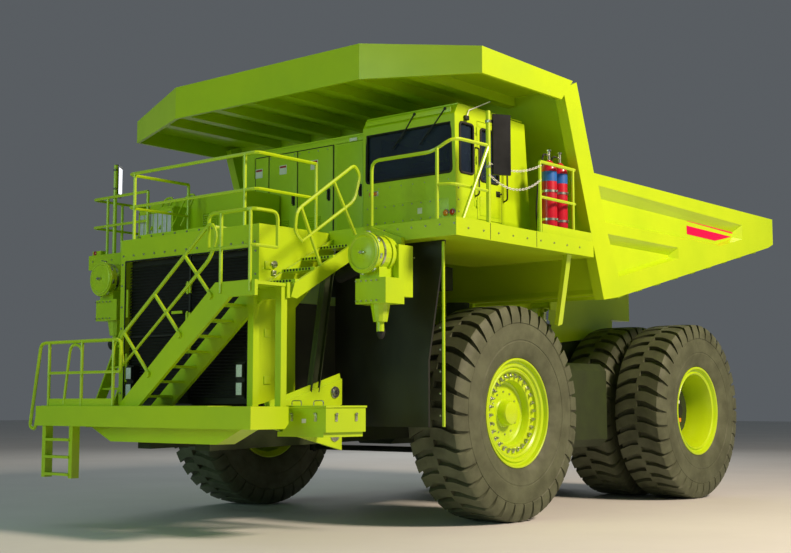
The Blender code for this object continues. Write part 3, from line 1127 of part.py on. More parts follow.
# ---------------------------------------------------------------- hoists
foot = Vector((0, hoist_foot_y, HOIST_FOOT_Z))
head = Vector((0, HOIST_HEAD_Y, HOIST_HEAD_Z))
lift = (head - foot).normalized()
reach = (head - foot).length
barrel_end = reach - 0.34
for side, label in ((LEFT, "left"), (RIGHT, "right")):
    at = Vector((side * HOIST_X, 0, 0)) + foot
    r1 = HOIST_R - TUBE_WALL
    r2 = r1 - ROD_CLEAR
    r3 = r2 - TUBE_WALL
    r4 = r3 - ROD_CLEAR
    barrel = turned(f"hoist_barrel_{label}", LIME,
                    [(barrel_end, HOIST_R), (0.12, HOIST_R), (0.075, 0.10), (0.075, 0.0),
                     (0.16, 0.0), (0.16, r1), (barrel_end, r1)], at, lift, 16)
    stage = turned(f"hoist_stage_{label}", CHROME,
                   [(barrel_end + 0.07, r2), (0.19, r2), (0.19, r3), (barrel_end + 0.07, r3)], at, lift, 16)
    rod = turned(f"hoist_rod_{label}", CHROME,
                 [(reach - 0.075, 0.0), (reach - 0.075, r4), (0.21, r4), (0.21, 0.0)], at, lift, 16)
    hoist_pivot = pivot(f"hoist_foot_{label}", at)
    carry(hoist_pivot, barrel, stage, rod)

# ---------------------------------------------------------------- origin
front_end = min(bumper_front_y, LIP_Y)
datum.location = (0, -(front_end + TAIL_Y) / 2, 0)
bpy.context.view_layer.update()
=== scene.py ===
"""Looks of the mining dump truck: paint, rubber, glass and the detail on every sub-part.

Metres, +Z up, the truck faces -Y and its cab is on the +X side.
"""
import json
import math

import bmesh
import bpy
from mathutils import Matrix, Vector


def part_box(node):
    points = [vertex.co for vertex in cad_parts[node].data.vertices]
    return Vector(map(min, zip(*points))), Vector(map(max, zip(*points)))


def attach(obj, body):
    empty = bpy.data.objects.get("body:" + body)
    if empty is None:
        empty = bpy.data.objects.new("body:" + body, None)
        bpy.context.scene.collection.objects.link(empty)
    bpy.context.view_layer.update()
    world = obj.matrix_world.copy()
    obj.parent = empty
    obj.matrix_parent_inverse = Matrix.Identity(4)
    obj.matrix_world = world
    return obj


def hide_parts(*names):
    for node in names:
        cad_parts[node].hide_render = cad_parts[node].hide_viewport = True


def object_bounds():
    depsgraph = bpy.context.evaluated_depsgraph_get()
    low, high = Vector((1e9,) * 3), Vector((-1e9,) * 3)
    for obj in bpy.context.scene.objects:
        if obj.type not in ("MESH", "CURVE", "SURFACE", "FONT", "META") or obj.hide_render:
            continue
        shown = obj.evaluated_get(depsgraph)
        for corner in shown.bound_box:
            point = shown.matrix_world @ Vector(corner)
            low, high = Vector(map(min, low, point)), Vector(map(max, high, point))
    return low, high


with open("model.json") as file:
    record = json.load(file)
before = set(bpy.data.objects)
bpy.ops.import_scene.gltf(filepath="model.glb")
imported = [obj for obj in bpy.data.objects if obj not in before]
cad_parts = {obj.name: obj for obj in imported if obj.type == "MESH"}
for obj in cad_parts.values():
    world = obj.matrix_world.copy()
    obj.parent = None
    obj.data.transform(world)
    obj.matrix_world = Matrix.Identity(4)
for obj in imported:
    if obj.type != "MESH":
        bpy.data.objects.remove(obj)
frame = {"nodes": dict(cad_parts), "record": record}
cad_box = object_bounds()
nodes = frame["nodes"]
LEFT, RIGHT = 1, -1
SIDES = ((LEFT, "left"), (RIGHT, "right"))
tyre_low, tyre_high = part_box("front_tyre_left")
AXLE_Y = (tyre_low.y + tyre_high.y) / 2
AXLE_Z = (tyre_low.z + tyre_high.z) / 2
TYRE_R = (tyre_high.z - tyre_low.z) / 2
TO_FRAME = Matrix.Translation((0, AXLE_Y, 0))


def span(name):
    """Lowest and highest corner of a CAD node, with Y counted from the front axle."""
    low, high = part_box(name)
    shift = Vector((0, AXLE_Y, 0))
    return low - shift, high - shift


# ---------------------------------------------------------------- camera and light
VIEW_TURN = math.radians(39.974)    # round the truck from dead ahead, towards the cab side
VIEW_RISE = math.radians(5.629)     # the camera looks a little up
camera = bpy.data.objects.new("camera", bpy.data.cameras.new("camera"))
camera.data.sensor_width = 36.0
camera.data.lens = 57.95
camera.location = (13.093, -16.280, 1.674)
look = Vector((-math.sin(VIEW_TURN) * math.cos(VIEW_RISE),
               math.cos(VIEW_TURN) * math.cos(VIEW_RISE), math.sin(VIEW_RISE)))
camera.rotation_mode = "QUATERNION"
camera.rotation_quaternion = look.to_track_quat("-Z", "Y")
bpy.context.scene.collection.objects.link(camera)
bpy.context.scene.camera = camera


def soft_light(name, at, aim, size, watts, colour):
    """A square area light that looks at a point."""
    lamp = bpy.data.lights.new(name, "AREA")
    lamp.size = size
    lamp.energy = watts
    lamp.color = colour
    holder = bpy.data.objects.new(name, lamp)
    holder.location = at
    holder.rotation_mode = "QUATERNION"
    holder.rotation_quaternion = (Vector(aim) - Vector(at)).to_track_quat("-Z", "Y")
    bpy.context.scene.collection.objects.link(holder)


soft_light("key", (19, 1, 15), (0, 0, 3), 4, 6000, (1.0, 0.79, 0.62))
soft_light("front_fill", (-2, -24, 7), (0, 0, 3), 9, 950, (0.62, 1.0, 0.80))
soft_light("sky_fill", (-8, -6, 22), (0, 0, 3), 16, 360, (0.90, 0.98, 1.0))
soft_light("back_rim", (-14, 18, 10), (0, 0, 3), 10, 700, (1.0, 1.0, 1.0))
bpy.context.scene.view_settings.view_transform = "Standard"    # keeps the paint's colour as strong as it is


# ---------------------------------------------------------------- finishes
SLOT_OF = {}            # finish name to the record's slot


def linear(code):
    """An sRGB hex colour as the linear values a shader wants."""
    parts = [int(code[i:i + 2], 16) / 255 for i in (1, 3, 5)]
    return (*[c / 12.92 if c <= 0.04045 else ((c + 0.055) / 1.055) ** 2.4 for c in parts], 1.0)


def add(tree, kind, links=None, **settings):
    """A node with its settings; links gives each input a value or a socket to read."""
    made = tree.nodes.new(kind)
    for key, value in settings.items():
        setattr(made, key, value)
    for key, value in (links or {}).items():
        if isinstance(value, bpy.types.NodeSocket):
            tree.links.new(value, made.inputs[key])
        else:
            made.inputs[key].default_value = value
    return made


def finish(name, slot, colour, second, patch, rough, grain=0.0, grain_depth=0.0, rough_spread=0.08,
           **constants):
    """A surface whose colour wanders between two values in patches of a size in metres.

    slot is the record's slot that its pieces take; grain and grain_depth are a fine relief's
    size and height in metres; rough_spread is how far the roughness wanders; constants go
    straight onto the shader's own sockets.
    """
    mat = bpy.data.materials.new(name)
    mat.use_nodes = True
    tree = mat.node_tree
    shader = tree.nodes["Principled BSDF"]
    place = add(tree, "ShaderNodeTexCoord").outputs["Object"]
    cloud = add(tree, "ShaderNodeTexNoise", {"Vector": place, "Scale": 1 / patch, "Detail": 5.0,
                                             "Roughness": 0.6})
    ramp = add(tree, "ShaderNodeValToRGB", {"Fac": cloud.outputs["Fac"]})
    ramp.color_ramp.elements[0].position, ramp.color_ramp.elements[1].position = 0.36, 0.64
    ramp.color_ramp.elements[0].color = linear(second)
    ramp.color_ramp.elements[1].color = linear(colour)
    tree.links.new(ramp.outputs["Color"], shader.inputs["Base Color"])
    sheen = add(tree, "ShaderNodeMapRange", {"Value": cloud.outputs["Fac"], "From Min": 0.3, "From Max": 0.7,
                                             "To Min": rough + rough_spread, "To Max": rough - rough_spread})
    tree.links.new(sheen.outputs["Result"], shader.inputs["Roughness"])
    if grain:
        fine = add(tree, "ShaderNodeTexNoise", {"Vector": place, "Scale": 1 / grain, "Detail": 3.0})
        relief = add(tree, "ShaderNodeBump", {"Height": fine.outputs["Fac"], "Distance": grain_depth,
                                              "Strength": 0.8})
        tree.links.new(relief.outputs["Normal"], shader.inputs["Normal"])
    for key, value in constants.items():
        shader.inputs[key.replace("_", " ")].default_value = value
    mat.diffuse_color = linear(colour)
    SLOT_OF[name] = slot
    return mat


# two-pack machine enamel, sprayed: wet gloss over faint orange peel
enamel = finish("two_pack_enamel_lime", "lime_paint", "#BCDA10", "#AED00A", 1.6, 0.36, grain=0.012,
                grain_depth=0.0006,
                Coat_Weight=0.18, Coat_Roughness=0.15)
# dark olive enamel, matt: painted shade for the parts in deep shadow under the body and behind the stair
undercarriage_shade = finish("chassis_enamel_olive", "lime_paint", "#2C3A10", "#202B0A", 0.7, 0.6, grain=0.02,
                        grain_depth=0.001)
# satin black stove enamel: soft highlights, faint dust
black_enamel = finish("satin_black_enamel", "black_paint", "#121410", "#1B1E16", 0.5, 0.48, grain=0.01,
                      grain_depth=0.0004)
# hot-rolled steel under dark primer: matt, blotchy
dark_steel = finish("primed_steel", "dark_steel", "#1C2018", "#2A2E22", 0.35, 0.6, grain=0.015,
                    grain_depth=0.0012,
                    Metallic=0.3)
# vulcanised tread rubber, dusty in random patches
tyre_rubber = finish("vulcanised_tyre_rubber", "tyre", "#5A6048", "#474C36", 0.32, 0.66, grain=0.008,
                     grain_depth=0.0015,
                     rough_spread=0.06)
# hard chrome plate on ground rods
hard_chrome = finish("hard_chrome_plate", "chrome", "#D8DADC", "#CDD0D2", 0.3, 0.12, rough_spread=0.04,
                     Metallic=1.0)
# bright zinc plate on nuts, bolts and latches
zinc = finish("zinc_plate", "chrome", "#C9CCC4", "#AEB2A6", 0.05, 0.30, rough_spread=0.08, Metallic=1.0)
# anodised aluminium strip, brushed
aluminium = finish("brushed_aluminium", "chrome", "#E2E6E8", "#CDD2D5", 0.08, 0.40, Metallic=0.35)
# powder-coated bottle in signal red
bottle_red = finish("powder_coat_red", "red_paint", "#C40A2C", "#B00824", 0.25, 0.35, grain=0.006,
                    grain_depth=0.0003,
                    Coat_Weight=0.2)
# cut vinyl film: magenta stripes, blank labels and a band
stripe_red = finish("vinyl_film_magenta", "red_paint", "#E0004E", "#D60048", 0.4, 0.32, rough_spread=0.05)
label_white = finish("vinyl_film_white", "lime_paint", "#E8E8E2", "#DEDED6", 0.1, 0.4, rough_spread=0.05)
label_red = finish("vinyl_film_red", "red_paint", "#B4201C", "#A81B18", 0.1, 0.4, rough_spread=0.05)
band_blue = finish("vinyl_film_blue", "red_paint", "#2468B8", "#1E5CA8", 0.1, 0.4, rough_spread=0.05)
# EPDM seals, matt and near-black, and white moulded nylon
seal_rubber = finish("epdm_rubber", "black_paint", "#0E0F0E", "#171817", 0.05, 0.65, grain=0.004,
                     grain_depth=0.0003)
nylon = finish("moulded_nylon_white", "chrome", "#EDEEEA", "#E2E4DE", 0.05, 0.45, rough_spread=0.05)
# woven polyester seat cover
seat_cloth = finish("woven_polyester", "seat_fabric", "#2B2E33", "#1F2226", 0.03, 0.9, grain=0.004,
                    grain_depth=0.002,
                    rough_spread=0.03, Sheen_Weight=0.4)
# coloured lamp mouldings and a clear polycarbonate lens
lens_red = finish("acrylic_red", "red_paint", "#B80F14", "#9E0A10", 0.03, 0.12, Coat_Weight=0.6)
lens_amber = finish("acrylic_amber", "red_paint", "#F08A18", "#E07A10", 0.03, 0.12, Coat_Weight=0.6)
lens_clear = finish("polycarbonate_lens", "glass", "#E6ECEE", "#CFD8DC", 0.02, 0.08, rough_spread=0.03,
                    Coat_Weight=0.8)
# silvered mirror glass
mirror_glass = finish("silvered_glass", "chrome", "#C9CED2", "#C2C8CC", 0.4, 0.04, rough_spread=0.02,
                      Metallic=1.0)
# tinted laminated glass: reads dark blue and lets the seat show faintly
glass = finish("tinted_laminated_glass", "glass", "#27364A", "#1D2A3C", 0.8, 0.04, rough_spread=0.02,
               Alpha=0.62, Coat_Weight=0.5)
# screeded pale floor
floor_stone = finish("pale_screed", None, "#D9DAD6", "#D3D4D0", 3.0, 0.85, rough_spread=0.05)

FINISH_OF = {"lime_paint": enamel, "black_paint": black_enamel, "dark_steel": dark_steel, "tyre": tyre_rubber,
             "chrome": hard_chrome, "glass": glass, "red_paint": bottle_red, "seat_fabric": seat_cloth}
for part in frame["record"]["subparts"]:
    nodes[part["node"]].material_slots[0].material = FINISH_OF[part["material_slot"]]
# the chassis, axles, tanks and hoist barrels sit in shadow under the body: their dark olive is painted shade
for name in ("chassis_frame", "front_axle", "rear_axle", "fuel_tank", "hydraulic_tank", "hoist_barrel_left",
             "hoist_barrel_right"):
    nodes[name].material_slots[0].material = undercarriage_shade

world = bpy.data.worlds.new("studio")
world.use_nodes = True
world.node_tree.nodes["Background"].inputs["Color"].default_value = linear("#DCE6F0")
world.node_tree.nodes["Background"].inputs["Strength"].default_value = 0.14
bpy.context.scene.world = world

FLOOR_HALF = 90.0
floor_mesh = bpy.data.meshes.new("studio_floor")
floor_mesh.from_pydata([(x, y, 0.0) for x, y in ((-1, -1), (1, -1), (1, 1), (-1, 1))], [], [(0, 1, 2, 3)])
floor_mesh.transform(Matrix.Diagonal((FLOOR_HALF, FLOOR_HALF, 1, 1)))
floor_mesh.materials.append(floor_stone)
studio_floor = bpy.data.objects.new("studio_floor", floor_mesh)
bpy.context.scene.collection.objects.link(studio_floor)


# ---------------------------------------------------------------- shape helpers
def facing(start, end, up=(0, 0, 1)):
    """A matrix at the middle of two points with Z along them, and the distance between them."""
    start, end = Vector(start), Vector(end)
    along = (end - start).normalized()
    side = Vector(up).cross(along)
    if side.length < 1e-6:
        side = Vector((1, 0, 0)).cross(along)
    side.normalize()
    turn = Matrix((side, along.cross(side), along)).transposed().to_4x4()
    return Matrix.Translation((start + end) / 2) @ turn, (end - start).length


class Piece:
    """Collects shapes in one mesh, Y counted from the front axle, that ride on one body."""

    def __init__(self, name, material, body="chassis", slot=None):
        self.name, self.material, self.body = name, material, body
        self.slot = slot or SLOT_OF[material.name]
        self.bm = bmesh.new()

    def _new(self, build, matrix):
        before = set(self.bm.verts)
        build()
        fresh = [v for v in self.bm.verts if v not in before]
        bmesh.ops.transform(self.bm, matrix=matrix, verts=fresh)
        return fresh

    def _bar(self, matrix, edge):
        fresh = self._new(lambda: bmesh.ops.create_cube(self.bm, size=1.0), matrix)
        if edge:
            edges = list(dict.fromkeys(e for v in fresh for e in v.link_edges))
            bmesh.ops.bevel(self.bm, geom=edges, offset=edge, segments=2, affect="EDGES", profile=0.6)
        return self

    def block(self, x, y, z, edge=0.0):
        """A box between two values on each axis, its edges rounded by edge."""
        size = Vector((x[1] - x[0], y[1] - y[0], z[1] - z[0]))
        middle = Vector(((x[0] + x[1]) / 2, (y[0] + y[1]) / 2, (z[0] + z[1]) / 2))
        return self._bar(Matrix.Translation(middle) @ Matrix.Diagonal((*size, 1)), edge)

    def strut(self, start, end, width, height, up=(0, 0, 1)):
        """A rectangular bar between two points."""
        matrix, length = facing(start, end, up)
        return self._bar(matrix @ Matrix.Diagonal((width, height, length, 1)), 0.0)

    def rod(self, start, end, radius, sides=16, radius_end=None):
        """A round bar or cone between two points."""
        matrix, length = facing(start, end)
        self._new(lambda: bmesh.ops.create_cone(self.bm, cap_ends=True, segments=sides, radius1=radius,
                                                radius2=radius if radius_end is None else radius_end,
                                                depth=length), matrix)
        return self

    def ball(self, at, radius, scale=(1, 1, 1)):
        """A round bead, squashed by scale."""
        self._new(lambda: bmesh.ops.create_uvsphere(self.bm, u_segments=16, v_segments=10, radius=radius),
                  Matrix.Translation(at) @ Matrix.Diagonal((*scale, 1)))
        return self

    def lathe(self, profile, at, axis, steps=64, closed=False):
        """Turns (distance along, radius) points about a line through at."""
        turn = Vector((0, 0, 1)).rotation_difference(Vector(axis)).to_matrix().to_4x4()
        rings = []
        for along, radius in profile:
            if radius < 1e-6:
                rings.append([self.bm.verts.new(Matrix.Translation(at) @ turn @ Vector((0, 0, along)))])
                continue
            rings.append([self.bm.verts.new(Matrix.Translation(at) @ turn @ Vector(
                (radius * math.cos(2 * math.pi * i / steps), radius * math.sin(2 * math.pi * i / steps),
                 along)))
                for i in range(steps)])
        pairs = list(zip(rings, rings[1:])) + ([(rings[-1], rings[0])] if closed else [])
        for near, far in pairs:
            for i in range(steps):
                j = (i + 1) % steps
                corners = [near[i % len(near)], near[j % len(near)], far[j % len(far)], far[i % len(far)]]
                corners = list(dict.fromkeys(corners))
                if len(corners) > 2:
                    self.bm.faces.new(corners)
        return self

    def plate(self, points, normal, thickness):
        """A flat outline of 3-D points given a thickness along a normal."""
        push = Vector(normal).normalized() * thickness
        near = [self.bm.verts.new(Vector(p)) for p in points]
        far = [self.bm.verts.new(Vector(p) + push) for p in points]
        self.bm.faces.new(near)
        self.bm.faces.new(far)
        for i in range(len(points)):
            j = (i + 1) % len(points)
            self.bm.faces.new((near[i], near[j], far[j], far[i]))
        return self

    def tube(self, points, radius, sides=10, closed=False):
        """A round tube swept through points."""
        points = [Vector(p) for p in points]
        count = len(points)
        side = None
        rings = []
        for i, p in enumerate(points):
            before = points[i - 1] if i or closed else p
            after = points[(i + 1) % count] if i + 1 < count or closed else p
            along = (after - before).normalized()
            if side is None:
                side = along.orthogonal().normalized()
            side = (side - along * side.dot(along)).normalized()
            other = along.cross(side)
            rings.append([self.bm.verts.new(p + (side * math.cos(2 * math.pi * k / sides)
                                                 + other * math.sin(2 * math.pi * k / sides)) * radius)
                          for k in range(sides)])
        pairs = list(zip(rings, rings[1:])) + ([(rings[-1], rings[0])] if closed else [])
        for near, far in pairs:
            for k in range(sides):
                self.bm.faces.new((near[k], near[(k + 1) % sides], far[(k + 1) % sides], far[k]))
        if not closed:
            self.bm.faces.new(rings[0])
            self.bm.faces.new(rings[-1])
        return self

    def finish(self, smooth=35.0, replaces=()):
        """Makes the object, smooths it below an angle in degrees and hands it to its body."""
        bmesh.ops.remove_doubles(self.bm, verts=self.bm.verts, dist=1e-5)
        bmesh.ops.recalc_face_normals(self.bm, faces=self.bm.faces)
        bmesh.ops.transform(self.bm, matrix=TO_FRAME, verts=self.bm.verts)
        mesh = bpy.data.meshes.new(self.name)
        self.bm.to_mesh(mesh)
        self.bm.free()
        return settle(self.name, mesh, self.material, self.body, smooth, replaces)


def settle(name, mesh, material, body="chassis", smooth=35.0, replaces=()):
    """Shades a finished mesh and hangs it on its body."""
    mesh.name = name
    mesh.materials.clear()
    mesh.materials.append(material)
    mesh.shade_smooth()
    mesh.set_sharp_from_angle(angle=math.radians(smooth))
    obj = bpy.data.objects.new(name, mesh)
    bpy.context.scene.collection.objects.link(obj)
    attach(obj, body)
    if replaces:
        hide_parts(*replaces)
    return obj


def rounded(points, radius, steps=4):
    """A path with its inner corners rounded."""
    points = [Vector(p) for p in points]
    path = [points[0]]
    for before, corner, after in zip(points, points[1:], points[2:]):
        a, b = before - corner, after - corner
        reach = min(radius, a.length * 0.45, b.length * 0.45)
        start, end = corner + a.normalized() * reach, corner + b.normalized() * reach
        for step in range(steps + 1):
            t = step / steps
            path.append(start * (1 - t) ** 2 + corner * 2 * t * (1 - t) + end * t ** 2)
    return path + [points[-1]]


# ---------------------------------------------------------------- repeating shapes
def pattern_tree(name, sockets):
    """An empty node tree with named inputs; returns it with its input and output nodes."""
    tree = bpy.data.node_groups.new(name, "GeometryNodeTree")
    tree.interface.new_socket("Geometry", in_out="OUTPUT", socket_type="NodeSocketGeometry")
    for label, kind in sockets:
        tree.interface.new_socket(label, in_out="INPUT", socket_type="NodeSocket" + kind)
    return tree, add(tree, "NodeGroupInput").outputs, add(tree, "NodeGroupOutput")


def close_tree(tree, instances, material, out):
    """Ends a tree: real geometry with its material."""
    real = add(tree, "GeometryNodeRealizeInstances", {"Geometry": instances})
    done = add(tree, "GeometryNodeSetMaterial", {"Geometry": real.outputs["Geometry"], "Material": material})
    tree.links.new(done.outputs["Geometry"], out.inputs["Geometry"])


def ring_tree():
    """Copies of a piece turned about the X axis, evenly round a circle."""
    tree, given, out = pattern_tree("ring_of_pieces", [("Piece", "Object"), ("Count", "Int"),
                                                       ("Start", "Float"), ("Material", "Material")])
    points = add(tree, "GeometryNodeMeshLine", {"Count": given["Count"], "Offset": (0.0, 0.0, 0.0)})
    index = add(tree, "GeometryNodeInputIndex").outputs["Index"]
    turn = add(tree, "ShaderNodeMath", {0: index, 1: given["Count"]}, operation="DIVIDE")
    angle = add(tree, "ShaderNodeMath", {0: turn.outputs[0], 1: 2 * math.pi, 2: given["Start"]},
                operation="MULTIPLY_ADD")
    spin = add(tree, "ShaderNodeCombineXYZ", {"X": angle.outputs[0]})
    shape = add(tree, "GeometryNodeObjectInfo", {"Object": given["Piece"]})
    copies = add(tree, "GeometryNodeInstanceOnPoints", {"Points": points.outputs["Mesh"],
                                                        "Instance": shape.outputs["Geometry"],
                                                        "Rotation": spin.outputs["Vector"]})
    close_tree(tree, copies.outputs["Instances"], given["Material"], out)
    return tree


def row_tree():
    """Copies of a piece in a straight row, each shifted by Step."""
    tree, given, out = pattern_tree("row_of_pieces", [("Piece", "Object"), ("Count", "Int"),
                                                      ("Step", "Vector"), ("Material", "Material")])
    points = add(tree, "GeometryNodeMeshLine", {"Count": given["Count"], "Offset": given["Step"]})
    shape = add(tree, "GeometryNodeObjectInfo", {"Object": given["Piece"]})
    copies = add(tree, "GeometryNodeInstanceOnPoints", {"Points": points.outputs["Mesh"],
                                                        "Instance": shape.outputs["Geometry"]})
    close_tree(tree, copies.outputs["Instances"], given["Material"], out)
    return tree


def chain_tree():
    """Links along a path, every other one turned a quarter about the path."""
    tree, given, out = pattern_tree("links_on_path",
                                    [("Path", "Object"), ("Link", "Object"), ("Count", "Int"),
                                                      ("Material", "Material")])
    path = add(tree, "GeometryNodeObjectInfo", {"Object": given["Path"]})
    beads = add(tree, "GeometryNodeCurveToPoints",
                {"Curve": path.outputs["Geometry"], "Count": given["Count"]})
    index = add(tree, "GeometryNodeInputIndex").outputs["Index"]
    quarter = add(tree, "ShaderNodeMath", {0: index, 1: math.pi / 2}, operation="MULTIPLY")
    roll = add(tree, "ShaderNodeCombineXYZ", {"Z": quarter.outputs[0]})
    turned = add(tree, "FunctionNodeRotateRotation", {"Rotation": beads.outputs["Rotation"],
                                                      "Rotate By": roll.outputs["Vector"]},
                 rotation_space="LOCAL")
    link = add(tree, "GeometryNodeObjectInfo", {"Object": given["Link"]})
    copies = add(tree, "GeometryNodeInstanceOnPoints", {"Points": beads.outputs["Points"],
                                                        "Instance": link.outputs["Geometry"],
                                                        "Rotation": turned.outputs["Rotation"]})
    close_tree(tree, copies.outputs["Instances"], given["Material"], out)
    return tree


RING, ROW, CHAIN = ring_tree(), row_tree(), chain_tree()


def template(shape):
    """A Piece's mesh as a hidden object for a pattern to copy."""
    bmesh.ops.recalc_face_normals(shape.bm, faces=shape.bm.faces)
    mesh = bpy.data.meshes.new(shape.name)
    shape.bm.to_mesh(mesh)
    shape.bm.free()
    obj = bpy.data.objects.new(shape.name, mesh)
    bpy.context.scene.collection.objects.link(obj)
    return obj


def grow(tree, inputs):
    """Runs a pattern and returns the plain mesh it makes."""
    holder = bpy.data.objects.new("pattern", bpy.data.meshes.new("pattern"))
    bpy.context.scene.collection.objects.link(holder)
    modifier = holder.modifiers.new("pattern", "NODES")
    modifier.node_group = tree
    for item in tree.interface.items_tree:
        if item.in_out == "INPUT" and item.name in inputs:
            modifier[item.identifier] = inputs[item.name]
    bpy.context.view_layer.update()
    shown = holder.evaluated_get(bpy.context.evaluated_depsgraph_get())
    mesh = bpy.data.meshes.new_from_object(shown)
    holder.modifiers.clear()
    bpy.data.objects.remove(holder, do_unlink=True)
    return mesh


def drop(obj):
    """Removes a hidden object that a pattern copied."""
    bpy.data.objects.remove(obj, do_unlink=True)


def rows(name, shape, runs, material):
    """Several straight rows of one small shape as one piece; a run is (start, step, count[, turn])."""
    small = template(shape)
    bm = bmesh.new()
    for run in runs:
        start, step, count = run[:3]
        turn = run[3] if len(run) > 3 else Matrix.Identity(4)
        local = turn.to_3x3().inverted() @ Vector(step)
        mesh = grow(ROW, {"Piece": small, "Count": count, "Step": tuple(local), "Material": material})
        mesh.transform(TO_FRAME @ Matrix.Translation(start) @ turn)
        bm.from_mesh(mesh)
        bpy.data.meshes.remove(mesh)
    drop(small)
    mesh = bpy.data.meshes.new(name)
    bm.to_mesh(mesh)
    bm.free()
    return settle(name, mesh, material)


def ring(shape, count, at, axis_sign, material, start=0.0):
    """A ring of one shape about the X axis through at, as a mesh in the frame."""
    small = template(shape)
    mesh = grow(RING, {"Piece": small, "Count": count, "Start": start, "Material": material})
    drop(small)
    flip = Matrix.Rotation(math.pi, 4, "Z") if axis_sign < 0 else Matrix.Identity(4)
    mesh.transform(TO_FRAME @ Matrix.Translation(at) @ flip)
    return mesh


def bolt(size):
    """A hexagon head on a washer, standing on the XY plane."""
    shape = Piece("bolt", zinc)
    shape.rod((0, 0, 0), (0, 0, size * 0.25), size * 1.25, 12)
    shape.rod((0, 0, size * 0.2), (0, 0, size * 0.9), size, 6)
    return shape


TO_FRONT = Matrix.Rotation(math.radians(90), 4, "X")         # +Z becomes -Y
TO_LEFT = Matrix.Rotation(math.radians(90), 4, "Y")          # +Z becomes +X
TO_RIGHT = Matrix.Rotation(math.radians(-90), 4, "Y")        # +Z becomes -X

# ---------------------------------------------------------------- tyres
LUGS = 36               # per shoulder
LUG_DEPTH = 0.075
TREAD_HALF = 0.415
WALL_HALF = 0.462
carcass_line = [        # (across from the tyre's middle, radius), one half from bead to crown
    (0.352, 0.752), (0.375, 0.775), (0.398, 0.80), (0.425, 0.86), (0.446, 0.94), (0.455, 1.00),
    (0.4505, 1.008),
    (0.4505, 1.022), (0.459, 1.03), (WALL_HALF, 1.10), (0.458, 1.18), (0.449, 1.255), (0.436, 1.265),
    (0.425, 1.32), (0.405, 1.39), (0.372, 1.437), (0.30, 1.445), (0.15, 1.447), (0.0, 1.448)]


def tyre(name, node, body, x, y):
    """A hauler's rock tyre: lathed carcass and two staggered rings of bent lugs."""
    at = (x, y, AXLE_Z)
    carcass = Piece(name, tyre_rubber, body)
    whole = carcass_line + [(-a, r) for a, r in reversed(carcass_line[:-1])]
    inner = [(-0.30, 0.752), (0.30, 0.752)]
    carcass.lathe(whole + inner, at, (1, 0, 0), 108, closed=True)
    bmesh.ops.remove_doubles(carcass.bm, verts=carcass.bm.verts, dist=1e-5)
    bmesh.ops.recalc_face_normals(carcass.bm, faces=carcass.bm.faces)
    bmesh.ops.transform(carcass.bm, matrix=TO_FRAME, verts=carcass.bm.verts)
    pitch = 2 * math.pi / LUGS
    for side in (LEFT, RIGHT):
        # stations: across, outer radius, floor radius, angle of the middle, half width as a share of the
        # pitch
        stations = [(-0.02, TYRE_R - 0.001, 1.43, 0.0, 0.31), (0.11, TYRE_R - 0.001, 1.43, 0.02, 0.31),
                    (0.18, TYRE_R - 0.001, 1.43, 0.06, 0.315), (0.30, TYRE_R - 0.003, 1.43, 0.26, 0.33),
                    (0.385, TYRE_R - 0.012, 1.41, 0.42, 0.35), (TREAD_HALF, 1.478, 1.38, 0.50, 0.36),
                    (0.448, 1.375, 1.32, 0.56, 0.40), (0.455, 1.275, 1.255, 0.60, 0.45)]
        lug = Piece("lug", tyre_rubber)
        rings = []
        for across, high, low, bend, wide in stations:
            ring_points = []
            inset = 0.02 if across > 0.43 else 0.0
            for radius, shift in ((low, -wide - 0.02), (high, -wide), (high, wide), (low, wide + 0.02)):
                angle = (bend + shift) * pitch
                out = side * (across - (inset if radius == low else 0.0))
                ring_points.append(lug.bm.verts.new((out, -radius * math.sin(angle),
                                                     radius * math.cos(angle))))
            rings.append(ring_points)
        for near, far in zip(rings, rings[1:]):
            for k in range(4):
                lug.bm.faces.new((near[k], near[(k + 1) % 4], far[(k + 1) % 4], far[k]))
        lug.bm.faces.new(rings[0])
        lug.bm.faces.new(rings[-1])
        mesh = ring(lug, LUGS, at, LEFT, tyre_rubber, start=0.0 if side > 0 else pitch / 2)
        carcass.bm.from_mesh(mesh)
        bpy.data.meshes.remove(mesh)
    mesh = bpy.data.meshes.new(name)
    carcass.bm.to_mesh(mesh)
    carcass.bm.free()
    return settle(name, mesh, tyre_rubber, body, 32.0, (node,))


front_x = sum(v.x for v in span("front_tyre_left")) / 2
outer_x = sum(v.x for v in span("rear_tyre_outer_left")) / 2
inner_x = sum(v.x for v in span("rear_tyre_inner_left")) / 2
REAR_Y = sum(v.y for v in span("rear_tyre_outer_left")) / 2
for side, label in SIDES:
    tyre(f"front_rock_tyre_{label}", f"front_tyre_{label}", f"front_wheel_{label}", side * front_x, 0.0)
    for place, x in (("outer", outer_x), ("inner", inner_x)):
        tyre(f"rear_rock_tyre_{place}_{label}", f"rear_tyre_{place}_{label}", f"rear_wheels_{label}",
             side * x, REAR_Y)

# ---------------------------------------------------------------- wheels
FLANGE = 0.38           # tyre's middle to the rim flange
NUTS = 28
NUT_RING_R = 0.515


def wedge_nut():
    """A stud with its wedge clamp, standing on the wheel disc at the top of the ring."""
    shape = Piece("wedge_nut", zinc)
    shape.block((-0.004, 0.022), (-0.022, 0.022), (NUT_RING_R - 0.004, NUT_RING_R + 0.046), 0.005)
    shape.rod((0.0, 0, NUT_RING_R), (0.036, 0, NUT_RING_R), 0.021, 6)
    shape.rod((0.03, 0, NUT_RING_R), (0.062, 0, NUT_RING_R), 0.011, 8)
    return shape


def nuts(name, shape, count, x, y, side, body):
    """A ring of one small zinc piece on a wheel."""
    mesh = ring(shape, count, (x, y, AXLE_Z), side, zinc, start=0.05)
    return settle(name, mesh, zinc, body, 30.0)


